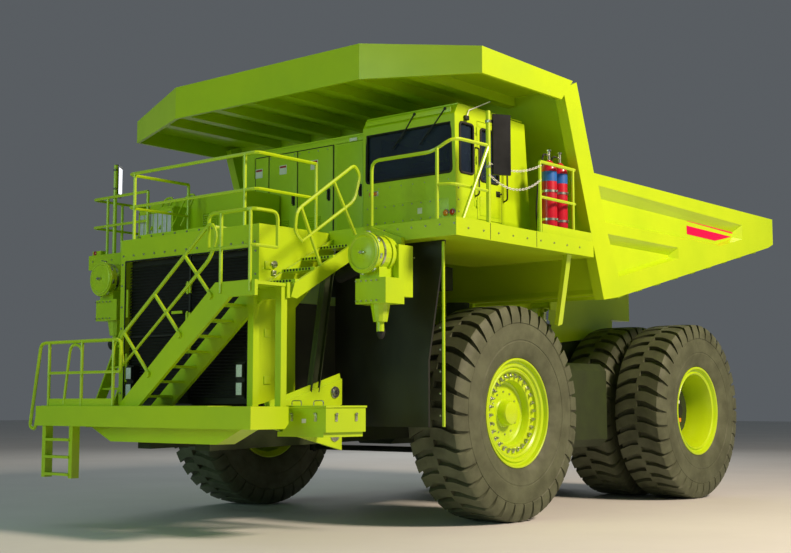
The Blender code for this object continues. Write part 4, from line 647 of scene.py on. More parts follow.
for side, label in SIDES:
    body = f"front_wheel_{label}"
    disc = Piece(f"front_wheel_disc_{label}", enamel, body)
    face = [(0.285, 0.0), (0.285, 0.125), (0.272, 0.155), (0.245, 0.170), (0.150, 0.182), (0.135, 0.20),
            (0.130, 0.41), (0.145, 0.437), (0.235, 0.450), (0.255, 0.462), (0.258, 0.56), (0.262, 0.575),
            (0.300, 0.585), (0.318, 0.612), (0.305, 0.640), (0.335, 0.655), (0.345, 0.682), (0.322, 0.700),
            (0.330, 0.722), (0.362, 0.730), (FLANGE + 0.005, 0.740), (FLANGE + 0.012, 0.752),
            (FLANGE + 0.006, 0.768), (FLANGE - 0.01, 0.770), (FLANGE - 0.03, 0.752)]
    back = [(-FLANGE, 0.752), (-FLANGE - 0.004, 0.735), (-FLANGE + 0.03, 0.70), (-FLANGE + 0.06, 0.66),
            (0.05, 0.60), (0.06, 0.40), (-0.06, 0.34), (-0.06, 0.0)]
    disc.lathe(face + back, (side * front_x, 0, AXLE_Z), (side, 0, 0), 96)
    disc.finish(30.0, (f"front_rim_{label}",))
    nuts(f"front_wheel_nuts_{label}", wedge_nut(), NUTS, side * (front_x + 0.258), 0.0, side, body)
    # hub cover's ring of small bolts
    small = Piece("cover_bolt", zinc)
    small.rod((0, 0, 0.30), (0.016, 0, 0.30), 0.013, 6)
    nuts(f"hub_cover_bolts_{label}", small, 12, side * (front_x + 0.130), 0.0, side, body)

    body = f"rear_wheels_{label}"
    mid = side * (outer_x + inner_x) / 2
    reach = (outer_x - inner_x) / 2 + FLANGE
    barrel = Piece(f"twin_wheel_rims_{label}", enamel, body)
    outside = [(-0.62, 0.0), (-0.62, 0.40), (-0.60, 0.45), (-0.60, 0.52), (-0.57, 0.56), (-0.20, 0.595),
               (-0.09, 0.625), (-0.045, 0.640), (-0.03, 0.662), (-0.055, 0.690), (-0.048, 0.712),
               (-0.015, 0.722), (0.006, 0.735), (0.012, 0.752), (0.006, 0.768), (-0.01, 0.770), (-0.03, 0.752)]
    inside = [(0.03, 0.752), (0.01, 0.770), (-0.006, 0.768), (-0.010, 0.74), (0.03, 0.70), (0.06, 0.62)]
    hub_back = [(-0.68, 0.56), (-0.68, 0.0)]
    barrel.lathe([(reach + along, radius) for along, radius in outside]
                 + [(-reach + along, radius) for along, radius in inside]
                 + [(reach + along, radius) for along, radius in hub_back],
                 (mid, REAR_Y, AXLE_Z), (side, 0, 0), 96)
    barrel.finish(30.0, (f"rear_rims_{label}",))
    stud = Piece("rim_stud", zinc)
    stud.rod((0, 0, 0.485), (0.03, 0, 0.485), 0.020, 6)
    stud.rod((0.02, 0, 0.485), (0.052, 0, 0.485), 0.010, 8)
    nuts(f"rear_wheel_nuts_{label}", stud, 30, mid + side * (reach - 0.60), REAR_Y, side, body)
    motor = Piece(f"wheel_motor_cover_{label}", dark_steel, body)
    motor.lathe([(reach - 0.40, 0.0), (reach - 0.40, 0.20), (reach - 0.42, 0.26),
                 (reach - 0.47, 0.30), (reach - 0.47, 0.36), (reach - 0.50, 0.385), (reach - 0.625, 0.39)],
                (mid, REAR_Y, AXLE_Z), (side, 0, 0), 48)
    motor.lathe([(reach - 0.41, 0.0), (reach - 0.34, 0.0), (reach - 0.34, 0.10), (reach - 0.35, 0.115),
                 (reach - 0.41, 0.12)], (mid, REAR_Y, AXLE_Z), (side, 0, 0), 32)
    motor.finish(30.0)
    end = mid + side * (reach - 0.40)
    Piece(f"wheel_motor_terminal_box_{label}", lens_amber, body).block(
        sorted((end, end + side * 0.07)), (REAR_Y - 0.10, REAR_Y + 0.02), (AXLE_Z - 0.20, AXLE_Z - 0.125),
        0.012).finish()
    Piece(f"wheel_motor_plug_{label}", label_white, body, "chrome").block(
        sorted((end, end + side * 0.06)), (REAR_Y - 0.075, REAR_Y - 0.005),
        (AXLE_Z + 0.125, AXLE_Z + 0.19), 0.012).finish()
    ring_bolt = Piece("motor_bolt", zinc)
    ring_bolt.rod((0, 0, 0.33), (0.018, 0, 0.33), 0.014, 6)
    nuts(f"wheel_motor_bolts_{label}", ring_bolt, 16, mid + side * (reach - 0.47), REAR_Y, side, body)

# ---------------------------------------------------------------- radiator
housing_low, housing_high = span("radiator_housing")
core_low, core_high = span("radiator_core")
face_y = housing_low.y
open_low, open_high = core_low.x, core_high.x
slat = Piece("shutter_slat", seal_rubber)
slat.strut((open_low + 0.02, 0, 0), (open_high - 0.02, 0, 0), 0.026, 0.004, up=(0, -0.7, 0.7))
rows("radiator_shutter_slats", slat, [((0, core_low.y + 0.10, core_low.z + 0.10), (0, 0, 0.042), 44)],
     seal_rubber)
guard = Piece("radiator_door_edges", black_enamel)
guard.block((0.02, 0.055), (face_y + 0.03, face_y + 0.055), (1.70, 3.63), 0.003)
guard.block((open_low + 0.01, open_high - 0.01), (face_y + 0.035, face_y + 0.05), (2.565, 2.59), 0.003)
guard.finish()
catches = Piece("radiator_door_hinges", enamel)
for z in (2.40, 2.80, 3.20):
    catches.block((-0.03, 0.065), (face_y + 0.02, face_y + 0.05), (z - 0.07, z + 0.07), 0.01)
    catches.rod((0.018, face_y + 0.015, z - 0.085), (0.018, face_y + 0.015, z + 0.085), 0.014, 12)
for z in (2.15, 3.05):
    catches.block((open_low - 0.01, open_low + 0.05), (face_y + 0.01, face_y + 0.05),
                  (z - 0.20, z + 0.20), 0.012)
catches.block((-0.32, -0.10), (face_y + 0.02, face_y + 0.045), (2.86, 2.90), 0.008)
catches.finish()
trim = Piece("radiator_mouth_seal", seal_rubber)
mouth = [(open_low + 0.012, face_y - 0.006, 3.64), (open_high - 0.012, face_y - 0.006, 3.64)]
trim.tube(mouth, 0.010, 8)
for x in (open_low + 0.006, open_high - 0.006):
    trim.tube([(x, face_y - 0.004, 1.70), (x, face_y - 0.004, 3.64)], 0.009, 8)
trim.finish()

# headlamps: upright oblong units, two on each side of the core
LAMP_HALF_W, LAMP_HALF_H = 0.052, 0.078
for label, x in (("right", -1.12), ("left", 1.11)):
    pod = Piece(f"headlamp_bezels_{label}", black_enamel)
    bowl = Piece(f"headlamp_bowls_{label}", mirror_glass)
    lens = Piece(f"headlamp_lenses_{label}", lens_clear)
    for z in (1.84, 2.07):
        front = face_y - 0.02
        width, height = (x - LAMP_HALF_W, x + LAMP_HALF_W), (z - LAMP_HALF_H, z + LAMP_HALF_H)
        for edge in (width[0] - 0.006, width[1] + 0.006):
            pod.block((edge - 0.007, edge + 0.007), (front - 0.035, front), height, 0.004)
        for edge in (height[0] - 0.006, height[1] + 0.006):
            pod.block((width[0] - 0.012, width[1] + 0.012), (front - 0.035, front),
                      (edge - 0.007, edge + 0.007), 0.004)
        bowl.block(width, (front - 0.010, front - 0.002), height, 0.003)
        bowl.lathe([(0.0, 0.0), (0.004, 0.018), (0.018, 0.040), (0.022, 0.046), (0.012, 0.048), (0.0, 0.03)],
                   (x, front - 0.008, z), (0, -1, 0), 24)
        lens.block(width, (front - 0.036, front - 0.028), height, 0.006)
    pod.finish()
    bowl.finish()
    lens.finish()

# bolts round the housing and its top cover
rows("housing_bolts", bolt(0.013), [
    ((-1.34, face_y, 3.72), (0.222, 0, 0), 13, TO_FRONT), ((-1.36, face_y, 1.80), (0, 0, 0.30), 7, TO_FRONT),
    ((1.34, face_y, 1.80), (0, 0, 0.30), 7, TO_FRONT),
    ((-1.16, -3.52, housing_high.z + 0.04), (0.25, 0, 0), 7, TO_FRONT)],
    zinc)
rows("top_cover_bolts", bolt(0.012), [
    ((-1.34, -3.45, housing_high.z), (0, 0.30, 0), 4), ((1.34, -3.45, housing_high.z), (0, 0.30, 0), 4)],
    zinc)
cap = Piece("coolant_cap_and_latches", enamel)
cap.block((-1.26, 0.42), (-3.52, -2.40), (housing_high.z - 0.002, housing_high.z + 0.075), 0.012)
cap.rod((0.85, -3.05, housing_high.z - 0.002), (0.85, -3.05, housing_high.z + 0.04), 0.10, 24)
cap.rod((0.85, -3.05, housing_high.z + 0.038), (0.85, -3.05, housing_high.z + 0.075), 0.065, 8)
for z in (3.42, 2.55, 1.95):
    cap.block((-1.415, -1.395), (face_y + 0.10, face_y + 0.22), (z - 0.05, z + 0.05), 0.006)
    cap.block((1.395, 1.415), (face_y + 0.10, face_y + 0.22), (z - 0.05, z + 0.05), 0.006)
cap.finish()
catch = Piece("housing_side_latch", zinc)
catch.rod((1.405, -3.40, 3.44), (1.43, -3.40, 3.44), 0.045, 16)
catch.block((1.42, 1.44), (-3.47, -3.36), (3.425, 3.455), 0.005)
catch.block((1.40, 1.43), (-3.44, -3.37), (3.30, 3.36), 0.006)
catch.finish()

# ---------------------------------------------------------------- decks and edges
DECK_TOP = 3.98


def chequer(name, x, y, z, slope=0.0):
    """Raised oval grips of a chequered tread plate over a rectangle, rising slope per metre of Y."""
    grip = Piece("grip", enamel)
    grip.ball((0, 0, 0), 0.016, (1.0, 0.38, 0.22))
    runs = []
    lines = int((y[1] - y[0]) / 0.06)
    for i in range(lines):
        at = y[0] + 0.03 + i * 0.06
        turn = Matrix.Rotation(math.radians(45 if i % 2 else -45), 4, "Z")
        runs.append(((x[0] + 0.03 + 0.03 * (i % 2), at, z + slope * (at - y[0])), (0.06, 0, 0),
                     int((x[1] - x[0] - 0.06) / 0.06), turn))
    return rows(name, grip, runs, enamel)


chequer("tread_plate_landing", (1.44, 2.02), (-4.32, -3.78), 3.141)
chequer("tread_plate_deck_front", (2.10, 3.50), (-2.32, -1.62), DECK_TOP + 0.001)
chequer("tread_plate_right_front", (-3.40, -2.62), (-2.58, -1.50), DECK_TOP + 0.001)
chequer("tread_plate_bumper", (-2.05, 1.30), (-4.42, -4.06), 1.621)

rows("deck_edge_bolts", bolt(0.011), [
    ((2.15, -2.35, 3.90), (0.23, 0, 0), 7, TO_FRONT), ((-3.45, -2.62, 3.88), (0.24, 0, 0), 9, TO_FRONT),
    ((3.56, -2.10, 3.86), (0, 0.33, 0), 9, TO_LEFT), ((-3.56, -2.40, 3.86), (0, 0.33, 0), 10, TO_RIGHT)],
    zinc)
seams = Piece("deck_edge_joints", seal_rubber)
for x, y in ((3.561, -1.62), (3.561, -0.55), (-3.561, -1.60), (-3.561, -0.50)):
    seams.block((x - 0.001, x + 0.001), (y - 0.005, y + 0.005), (3.76, 3.975))
seams.finish()
# flat bars that stand up along the deck's edge as toe boards
toe = Piece("deck_toe_boards", enamel)
toe.block((3.545, 3.558), (-0.40, 0.90), (3.975, 4.10), 0.004)
toe.block((-3.558, -3.545), (-2.00, 0.40), (3.975, 4.10), 0.004)
toe.finish()

# ---------------------------------------------------------------- mudguards
for side, label in SIDES:
    low, high = span(f"mudguard_{label}")
    fold = Piece(f"mudguard_edge_{label}", enamel)
    outer = side * (high.x if side > 0 else -low.x)
    fold.block(sorted((outer - side * 0.03, outer)), (low.y - 0.022, low.y + 0.01),
               (low.z + 0.01, high.z - 0.02), 0.006)
    fold.finish()
    rows(f"mudguard_bolts_{label}", bolt(0.010), [
        ((low.x + 0.20, low.y, high.z - 0.20), (0.30, 0, 0), 5, TO_FRONT),
        ((outer - side * 0.075, low.y, low.z + 0.15), (0, 0, 0.28), 5, TO_FRONT)], zinc)

# ---------------------------------------------------------------- air cleaners
DRUM_X, DRUM_FRONT, DRUM_Z = 2.65, -3.05, 3.53     # middle of the drum's front face
for side, label in SIDES:
    low, high = span(f"air_cleaner_{label}")
    x = side * DRUM_X
    shell = Piece(f"air_cleaner_cover_{label}", enamel)
    shell.lathe([(-0.01, 0.242), (-0.01, 0.262), (0.012, 0.266), (0.028, 0.262), (0.030, 0.244),
                 (0.042, 0.238),
                 (0.050, 0.215), (0.036, 0.200), (0.036, 0.09), (0.044, 0.075), (0.044, 0.0), (-0.01, 0.0)],
                (x, DRUM_FRONT + 0.012, DRUM_Z), (0, -1, 0), 64)
    shell.lathe([(0.0, 0.236), (0.0, 0.252), (0.035, 0.252), (0.035, 0.236)],
                (x, DRUM_FRONT + 0.30, DRUM_Z), (0, -1, 0), 64,
                closed=True)
    shell.finish()
    clip = Piece("clip", zinc)
    clip.block((-0.014, 0.014), (-0.03, 0.03), (0.258, 0.278), 0.004)
    clip.block((-0.009, 0.009), (-0.045, -0.02), (0.250, 0.262), 0.003)
    small = template(clip)
    mesh = grow(RING, {"Piece": small, "Count": 8, "Start": 0.2, "Material": zinc})
    drop(small)
    mesh.transform(TO_FRAME @ Matrix.Translation((x, DRUM_FRONT + 0.02,
                                                  DRUM_Z)) @ Matrix.Rotation(math.pi / 2, 4, "Z"))
    settle(f"air_cleaner_clips_{label}", mesh, zinc)
    nut = Piece(f"air_cleaner_wing_nut_{label}", zinc)
    nut.rod((x, DRUM_FRONT - 0.03, DRUM_Z), (x, DRUM_FRONT - 0.075, DRUM_Z), 0.022, 8)
    nut.block((x - 0.05, x + 0.05), (DRUM_FRONT - 0.066, DRUM_FRONT - 0.05),
              (DRUM_Z - 0.01, DRUM_Z + 0.01), 0.004)
    nut.finish()
    strap = Piece(f"air_cleaner_straps_{label}", zinc)
    for y in (-2.92, -2.76):
        strap.lathe([(-0.018, 0.236), (-0.018, 0.241), (0.018, 0.241), (0.018, 0.236)], (x, y, DRUM_Z),
                    (0, 1, 0), 48,
                    closed=True)
    strap.finish()
    rows(f"air_box_bolts_{label}", bolt(0.010), [
        ((x - 0.17, DRUM_FRONT + 0.035, 3.18), (0.085, 0, 0), 5, TO_FRONT),
        ((x - 0.17, DRUM_FRONT + 0.035, 2.93), (0.085, 0, 0), 5, TO_FRONT)], zinc)
    cup = Piece(f"dust_valve_{label}", seal_rubber)
    cup.lathe([(0.0, 0.0), (0.0, 0.052), (0.05, 0.060), (0.10, 0.045), (0.13, 0.02), (0.132, 0.0)],
              (x, (low.y + high.y) / 2, low.z + 0.04), (0, 0, -1), 24)
    cup.finish()
    hose = Piece(f"intake_hose_{label}", seal_rubber)
    path = rounded([(x - side * 0.10, -2.62, DRUM_Z), (x - side * 0.35, -2.45, 3.50),
                    (side * 1.55, -2.30, 3.35)], 0.15, 6)
    hose.tube(path, 0.085, 20)
    hose.finish()

# ---------------------------------------------------------------- cab
cab_low, cab_high = span("cab_shell")
screen_low, screen_high = span("windscreen")
corner_low, corner_high = span("corner_window")
door_low, door_high = span("cab_door")
CAB_LEFT, CAB_RIGHT = cab_high.x, cab_low.x
CAB_FRONT = -1.55


def frame_seal(name, corners, radius, body="chassis", bulge=0.05):
    """A rubber seal round a window, its corners rounded."""
    seal = Piece(name, seal_rubber, body)
    middle = sum((Vector(c) for c in corners), Vector()) / len(corners)
    ring_path = []
    count = len(corners)
    for i in range(count):
        before, corner, after = (Vector(corners[(i + k) % count]) for k in (-1, 0, 1))
        a, b = (before - corner).normalized() * bulge, (after - corner).normalized() * bulge
        for step in range(5):
            t = step / 4
            ring_path.append((corner + a) * (1 - t) ** 2 + corner * 2 * t * (1 - t) + (corner + b) * t ** 2)
    seal.tube(ring_path, radius, 8, closed=True)
    return seal.finish()


def rectangle(x, y, z):
    """Four corners of an upright rectangle; one of x and y is a single value."""
    if isinstance(x, tuple):
        return [(x[0], y, z[0]), (x[1], y, z[0]), (x[1], y, z[1]), (x[0], y, z[1])]
    return [(x, y[0], z[0]), (x, y[1], z[0]), (x, y[1], z[1]), (x, y[0], z[1])]


front_y = CAB_FRONT - 0.006
glass_z = (screen_low.z, screen_high.z)
frame_seal("windscreen_seal", rectangle((screen_low.x - 0.005, screen_high.x + 0.005), front_y, glass_z),
           0.022)
frame_seal("corner_window_seal", rectangle(CAB_LEFT + 0.002, (corner_low.y, corner_high.y), glass_z), 0.018)
door_glass = (4.68, 5.40)
frame_seal("door_window_seal", rectangle(door_high.x + 0.002, (-1.00, -0.58), door_glass), 0.018,
           "driver_door")
Piece("door_glass", glass, "driver_door").block(
    (door_high.x - 0.028, door_high.x - 0.020), (-1.004, -0.576), (4.676, 5.404)).finish()
rear_glass = Piece("rear_and_side_glass", glass)
rear_glass.block((CAB_RIGHT + 0.02, CAB_RIGHT + 0.028), (CAB_FRONT + 0.295, -0.225), (4.735, 5.425))
rear_glass.plate([(CAB_RIGHT + 0.245, 0.128, 4.735), (CAB_LEFT - 0.245, 0.128, 4.735),
                  (CAB_LEFT - 0.245, 0.022, 5.425), (CAB_RIGHT + 0.245, 0.022, 5.425)], (0, -1, -0.2), 0.008)
rear_glass.finish()
frame_seal("side_window_seal", rectangle(CAB_RIGHT - 0.003, (CAB_FRONT + 0.31, -0.24), (4.75, 5.41)), 0.018)

# door: handle, hinges, lower panel swage, and black strips in the gap round it that are painted shade
edge = Piece("cab_door_gap", seal_rubber)
for y in (door_low.y - 0.006, door_high.y + 0.006):
    edge.block((CAB_LEFT - 0.012, CAB_LEFT - 0.002), (y - 0.005, y + 0.005), (door_low.z, door_high.z))
edge.finish()
handle = Piece("cab_door_handle", black_enamel, "driver_door")
handle.block((door_high.x - 0.001, door_high.x + 0.006), (-0.64, -0.54), (4.50, 4.58), 0.003)
handle.tube(rounded([(door_high.x + 0.004, -0.62, 4.54), (door_high.x + 0.045, -0.62, 4.54),
                     (door_high.x + 0.045, -0.56, 4.54), (door_high.x + 0.004, -0.56, 4.54)], 0.015),
                     0.009, 8)
handle.finish()
swage = Piece("cab_door_lower_panel", enamel, "driver_door")
swage.block((door_high.x - 0.002, door_high.x + 0.006), (-1.02, -0.56), (4.20, 4.46), 0.004)
swage.block((door_high.x - 0.002, door_high.x + 0.004), (-1.05, -0.53), (5.42, 5.47), 0.003)
swage.finish()
hinges = Piece("cab_door_hinge_barrels", enamel)
for z in (4.35, 4.95, 5.35):
    hinges.rod((CAB_LEFT + 0.012, door_low.y - 0.022, z - 0.05),
               (CAB_LEFT + 0.012, door_low.y - 0.022, z + 0.05), 0.013, 12)
    hinges.block((CAB_LEFT - 0.002, CAB_LEFT + 0.006), (door_low.y - 0.075, door_low.y - 0.022),
                 (z - 0.035, z + 0.035), 0.003)
hinges.finish()

# front panel under the glass: seams, bolts, marker, lamps, wipers, blank plate
skirt = Piece("cab_front_panels", enamel)
skirt.block((CAB_RIGHT + 0.03, CAB_LEFT - 0.12), (CAB_FRONT - 0.008, CAB_FRONT + 0.002), (4.12, 4.40), 0.004)
skirt.block((CAB_RIGHT + 0.03, CAB_LEFT - 0.03), (CAB_FRONT - 0.006, CAB_FRONT + 0.002), (4.425, 4.56), 0.004)
skirt.block((CAB_RIGHT + 0.06, CAB_LEFT - 0.06), (CAB_FRONT - 0.034, CAB_FRONT - 0.02), (5.55, 5.62), 0.004)
skirt.block((CAB_RIGHT + 0.005, CAB_LEFT - 0.005), (-1.50, 0.02),
            (cab_high.z - 0.002, cab_high.z + 0.018), 0.008)
skirt.finish()
rows("cab_panel_bolts", bolt(0.009), [
    ((1.40, CAB_FRONT - 0.008, 4.37), (0.16, 0, 0), 9, TO_FRONT),
    ((1.40, CAB_FRONT - 0.008, 4.15), (0.16, 0, 0), 9, TO_FRONT),
    ((1.40, CAB_FRONT - 0.006, 4.64), (0.205, 0, 0), 8, TO_FRONT),
    ((CAB_LEFT, -1.50, 4.20), (0, 0, 0.16), 3, TO_LEFT)], zinc)
arms = Piece("wiper_arms", black_enamel)
blades = Piece("wiper_blades", seal_rubber)
for start, end in (((2.27, 5.60), (2.02, 5.30)), ((2.80, 5.60), (2.50, 5.30))):
    arms.rod((start[0], -1.565, start[1]), (start[0], -1.595, start[1]), 0.022, 16)
    arms.strut((start[0], -1.592, start[1]), (end[0], -1.578, end[1]), 0.012, 0.014, up=(0, 1, 0))
    blades.strut((end[0] - 0.16, -1.564, end[1] - 0.13), (end[0] + 0.13, -1.564, end[1] + 0.17), 0.010,
                 0.018, up=(0, 1, 0))
arms.finish()
blades.finish()
DOME = [(0.0, 0.040), (0.018, 0.040), (0.03, 0.030), (0.036, 0.0)]
lamp = Piece("cab_marker_lens", lens_amber)
lamp.block((1.44, 1.58), (CAB_FRONT - 0.028, CAB_FRONT - 0.006), (4.55, 4.60), 0.010)
lamp.lathe(DOME, (2.79, CAB_FRONT - 0.006, 4.19), (0, -1, 0), 28)
lamp.finish()
lamp = Piece("cab_turn_lens", lens_red)
lamp.lathe(DOME, (2.90, CAB_FRONT - 0.006, 4.19), (0, -1, 0), 28)
lamp.finish()
rims = Piece("cab_lamp_rims", zinc)
for x in (2.79, 2.90):
    rims.lathe([(0.0, 0.041), (0.0, 0.05), (0.014, 0.05), (0.020, 0.041)], (x, CAB_FRONT - 0.002, 4.19),
               (0, -1, 0), 28,
               closed=True)
rims.block((1.425, 1.595), (CAB_FRONT - 0.012, CAB_FRONT), (4.54, 4.61), 0.004)
rims.finish()
Piece("blank_cab_plate", label_white).block(
    (2.30, 2.38), (CAB_FRONT - 0.0095, CAB_FRONT - 0.007), (4.22, 4.30)).finish()
whip = Piece("radio_aerial", nylon)
whip.tube([(2.98, -1.34, 5.50), (2.985, -1.30, 5.60), (2.985, -0.81, 5.81)], 0.008, 8)
whip.finish()
Piece("radio_aerial_foot", black_enamel).block(
    (CAB_LEFT - 0.004, CAB_LEFT + 0.04), (-1.38, -1.30), (5.46, 5.52), 0.006).finish()
grab = Piece("cab_grab_rails", black_enamel)
for y in (-1.12, -0.46):
    grab.tube(rounded([(CAB_LEFT, y, 4.45), (CAB_LEFT + 0.065, y, 4.47), (CAB_LEFT + 0.065, y, 5.10),
                       (CAB_LEFT, y, 5.12)], 0.04), 0.012, 10)
grab.finish()
Piece("roof_cooler", enamel).block(
    (1.75, 2.50), (-1.05, -0.30), (cab_high.z - 0.01, cab_high.z + 0.13), 0.03).finish()

# inside: dash, seat pedestal and a padded seat
dash = Piece("dashboard", black_enamel)
dash.plate([(1.42, -1.46, 4.16), (1.42, -1.46, 4.86), (1.42, -1.38, 4.92), (1.42, -1.20, 4.84),
            (1.42, -1.30, 4.60),
            (1.42, -1.34, 4.16)], (1, 0, 0), 1.40)
dash.plate([(1.98, -1.36, 4.90), (1.98, -1.34, 4.98), (1.98, -1.20, 4.96), (1.98, -1.16, 4.86)],
           (1, 0, 0), 0.56)
dash.finish()
seat_x = sum(v.x for v in span("operator_seat")) / 2
seat_low, seat_high = span("operator_seat")
base = Piece("seat_pedestal", black_enamel)
base.block((seat_x - 0.17, seat_x + 0.17), (-0.90, -0.54), (seat_low.z, seat_low.z + 0.24), 0.02)
base.block((seat_x - 0.24, seat_x + 0.24), (-0.96, -0.48), (seat_low.z + 0.24, seat_low.z + 0.32), 0.02)
for side in (LEFT, RIGHT):
    base.block((seat_x + side * 0.30 - 0.03, seat_x + side * 0.30 + 0.03), (-0.86, -0.50),
               (seat_low.z + 0.50, seat_low.z + 0.55), 0.02)
    base.strut((seat_x + side * 0.29, -0.52, seat_low.z + 0.30),
               (seat_x + side * 0.29, -0.50, seat_low.z + 0.52), 0.03, 0.04)
base.finish()


def cushion(name, x, y, z, edge):
    """A stuffed pad: a block that is full in the middle and drawn in at its edges."""
    pad = Piece(name, seat_cloth)
    size = Vector((x[1] - x[0], y[1] - y[0], z[1] - z[0]))
    middle = Vector(((x[0] + x[1]) / 2, (y[0] + y[1]) / 2, (z[0] + z[1]) / 2))
    bmesh.ops.create_cube(pad.bm, size=1.0)
    bmesh.ops.subdivide_edges(pad.bm, edges=pad.bm.edges[:], cuts=11, use_grid_fill=True)
    reach = edge / min(size)
    for v in pad.bm.verts:
        a, b, c = (max(0.0, 1 - (2 * abs(q)) ** 4) for q in v.co)
        v.co.x *= 1 - reach * (1 - b * c) * 0.5
        v.co.y *= 1 - reach * (1 - a * c) * 0.5
        v.co.z *= 1 - reach * (1 - a * b) * 0.8
    bmesh.ops.transform(pad.bm, matrix=Matrix.Translation(middle) @ Matrix.Diagonal((*size, 1)),
                        verts=pad.bm.verts)
    return pad


pad = cushion("seat_cushion", (seat_x - 0.26, seat_x + 0.26), (-0.98, -0.46),
              (seat_low.z + 0.32, seat_low.z + 0.47), 0.07)
pad.finish(60.0, ("operator_seat",))
pad = cushion("seat_backrest", (seat_x - 0.24, seat_x + 0.24), (-0.53, -0.41),
              (seat_low.z + 0.42, seat_high.z), 0.08)
pad.finish(60.0)

WHEEL_R = 0.195
column = Piece("steering_column", black_enamel)
column.rod((seat_x, -1.44, 4.18), (seat_x, -1.25, 4.90), 0.032, 12)
rim_path = []
hub = Vector((seat_x, -1.248, 4.905))
tilt = Vector((0, -1.44 + 1.25, 4.18 - 4.90)).normalized()
for i in range(40):
    a = 2 * math.pi * i / 40
    side_way, up_way = Vector((1, 0, 0)), tilt.cross(Vector((1, 0, 0)))
    rim_path.append(hub + (side_way * math.cos(a) + up_way * math.sin(a)) * WHEEL_R)
column.tube(rim_path, 0.014, 8, closed=True)
for i in (0, 13, 27):
    column.strut(hub, rim_path[i], 0.03, 0.012)
column.ball(hub, 0.045, (1, 1, 0.7))
column.finish(40.0, ("steering_wheel",))

# ---------------------------------------------------------------- electrical cabinet
case_low, case_high = span("control_cabinet")
hatch_low, hatch_high = span("cabinet_door")
CASE_FRONT = -1.40
panel = Piece("cabinet_fixed_doors", enamel)
splits = (-1.04, -0.74, -0.13, 0.60)
for left, right in zip(splits, splits[1:]):
    panel.block((left + 0.012, right - 0.012), (CASE_FRONT - 0.014, CASE_FRONT + 0.004), (4.09, 5.41), 0.006)
panel.plate([(-1.06, CASE_FRONT + 0.002, 5.10), (-1.31, CASE_FRONT + 0.002, 5.20),
             (-1.31, CASE_FRONT + 0.002, 5.41),
             (-1.06, CASE_FRONT + 0.002, 5.41)], (0, -1, 0), 0.012)
panel.block((case_low.x + 0.01, case_high.x - 0.01), (CASE_FRONT - 0.02, -0.49),
            (case_high.z - 0.004, case_high.z + 0.022), 0.008)
panel.block((-1.04, case_high.x - 0.01), (CASE_FRONT - 0.010, CASE_FRONT + 0.002), (5.425, 5.475), 0.003)
panel.finish()
# black strips in the gaps between the doors: painted shade
gap_shade = Piece("cabinet_door_gaps", seal_rubber)
for x in splits:
    gap_shade.block((x - 0.009, x + 0.009), (CASE_FRONT - 0.003, CASE_FRONT + 0.002), (4.08, 5.42))
gap_shade.block((-1.04, 0.60), (CASE_FRONT - 0.003, CASE_FRONT + 0.002), (5.412, 5.424))
gap_shade.finish()
Piece("hinged_door_swage", enamel, "cabinet_hatch").block(
    (hatch_low.x + 0.03, hatch_high.x - 0.03), (hatch_low.y - 0.006, hatch_low.y + 0.002),
    (hatch_low.z + 0.03, hatch_high.z - 0.03), 0.004).finish()
pulls = Piece("cabinet_door_handles", black_enamel)
hatch_pull = Piece("hinged_door_handle", black_enamel, "cabinet_hatch")
door_face = CASE_FRONT - 0.014
for shape, x, y in ((pulls, -0.20, door_face), (pulls, 0.52, door_face), (pulls, -0.80, door_face),
                    (hatch_pull, 1.14, hatch_low.y - 0.006)):
    shape.block((x - 0.025, x + 0.025), (y - 0.010, y + 0.001), (4.60, 4.78), 0.008)
    shape.rod((x, y - 0.006, 4.74), (x, y - 0.032, 4.74), 0.013, 12)
    shape.block((x - 0.012, x + 0.012), (y - 0.042, y - 0.028), (4.62, 4.76), 0.005)
pulls.finish()
hatch_pull.finish()
plates = Piece("blank_cabinet_labels", label_white)
strips = Piece("blank_label_strips", label_red)
for x in (-0.95, -0.43, 0.22):
    y = CASE_FRONT - 0.015
    plates.block((x - 0.075, x + 0.075), (y - 0.003, y + 0.002), (5.10, 5.24))
    strips.block((x - 0.065, x + 0.065), (y - 0.0045, y - 0.002), (5.20, 5.228))
plates.block((1.00 - 0.07, 1.00 + 0.07), (CASE_FRONT - 0.0255, CASE_FRONT - 0.010), (5.425, 5.47))
plates.finish()
strips.finish()
louvre = Piece("louvre", enamel)
louvre.strut((-0.13, 0, 0), (0.13, 0, 0), 0.024, 0.010, up=(0, -0.8, 0.6))
rows("cabinet_vent_louvres", louvre, [((-0.43, CASE_FRONT - 0.016, 4.16), (0, 0, 0.032), 8),
                                      ((0.22, CASE_FRONT - 0.016, 4.16), (0, 0, 0.032), 8)], enamel)
rows("cabinet_bolts", bolt(0.009), [
    ((x, CASE_FRONT - 0.014, z), (step, 0, 0), 4, TO_FRONT)
    for z in (5.37, 4.12) for x, step in ((-0.70, 0.17), (-0.08, 0.19))], zinc)

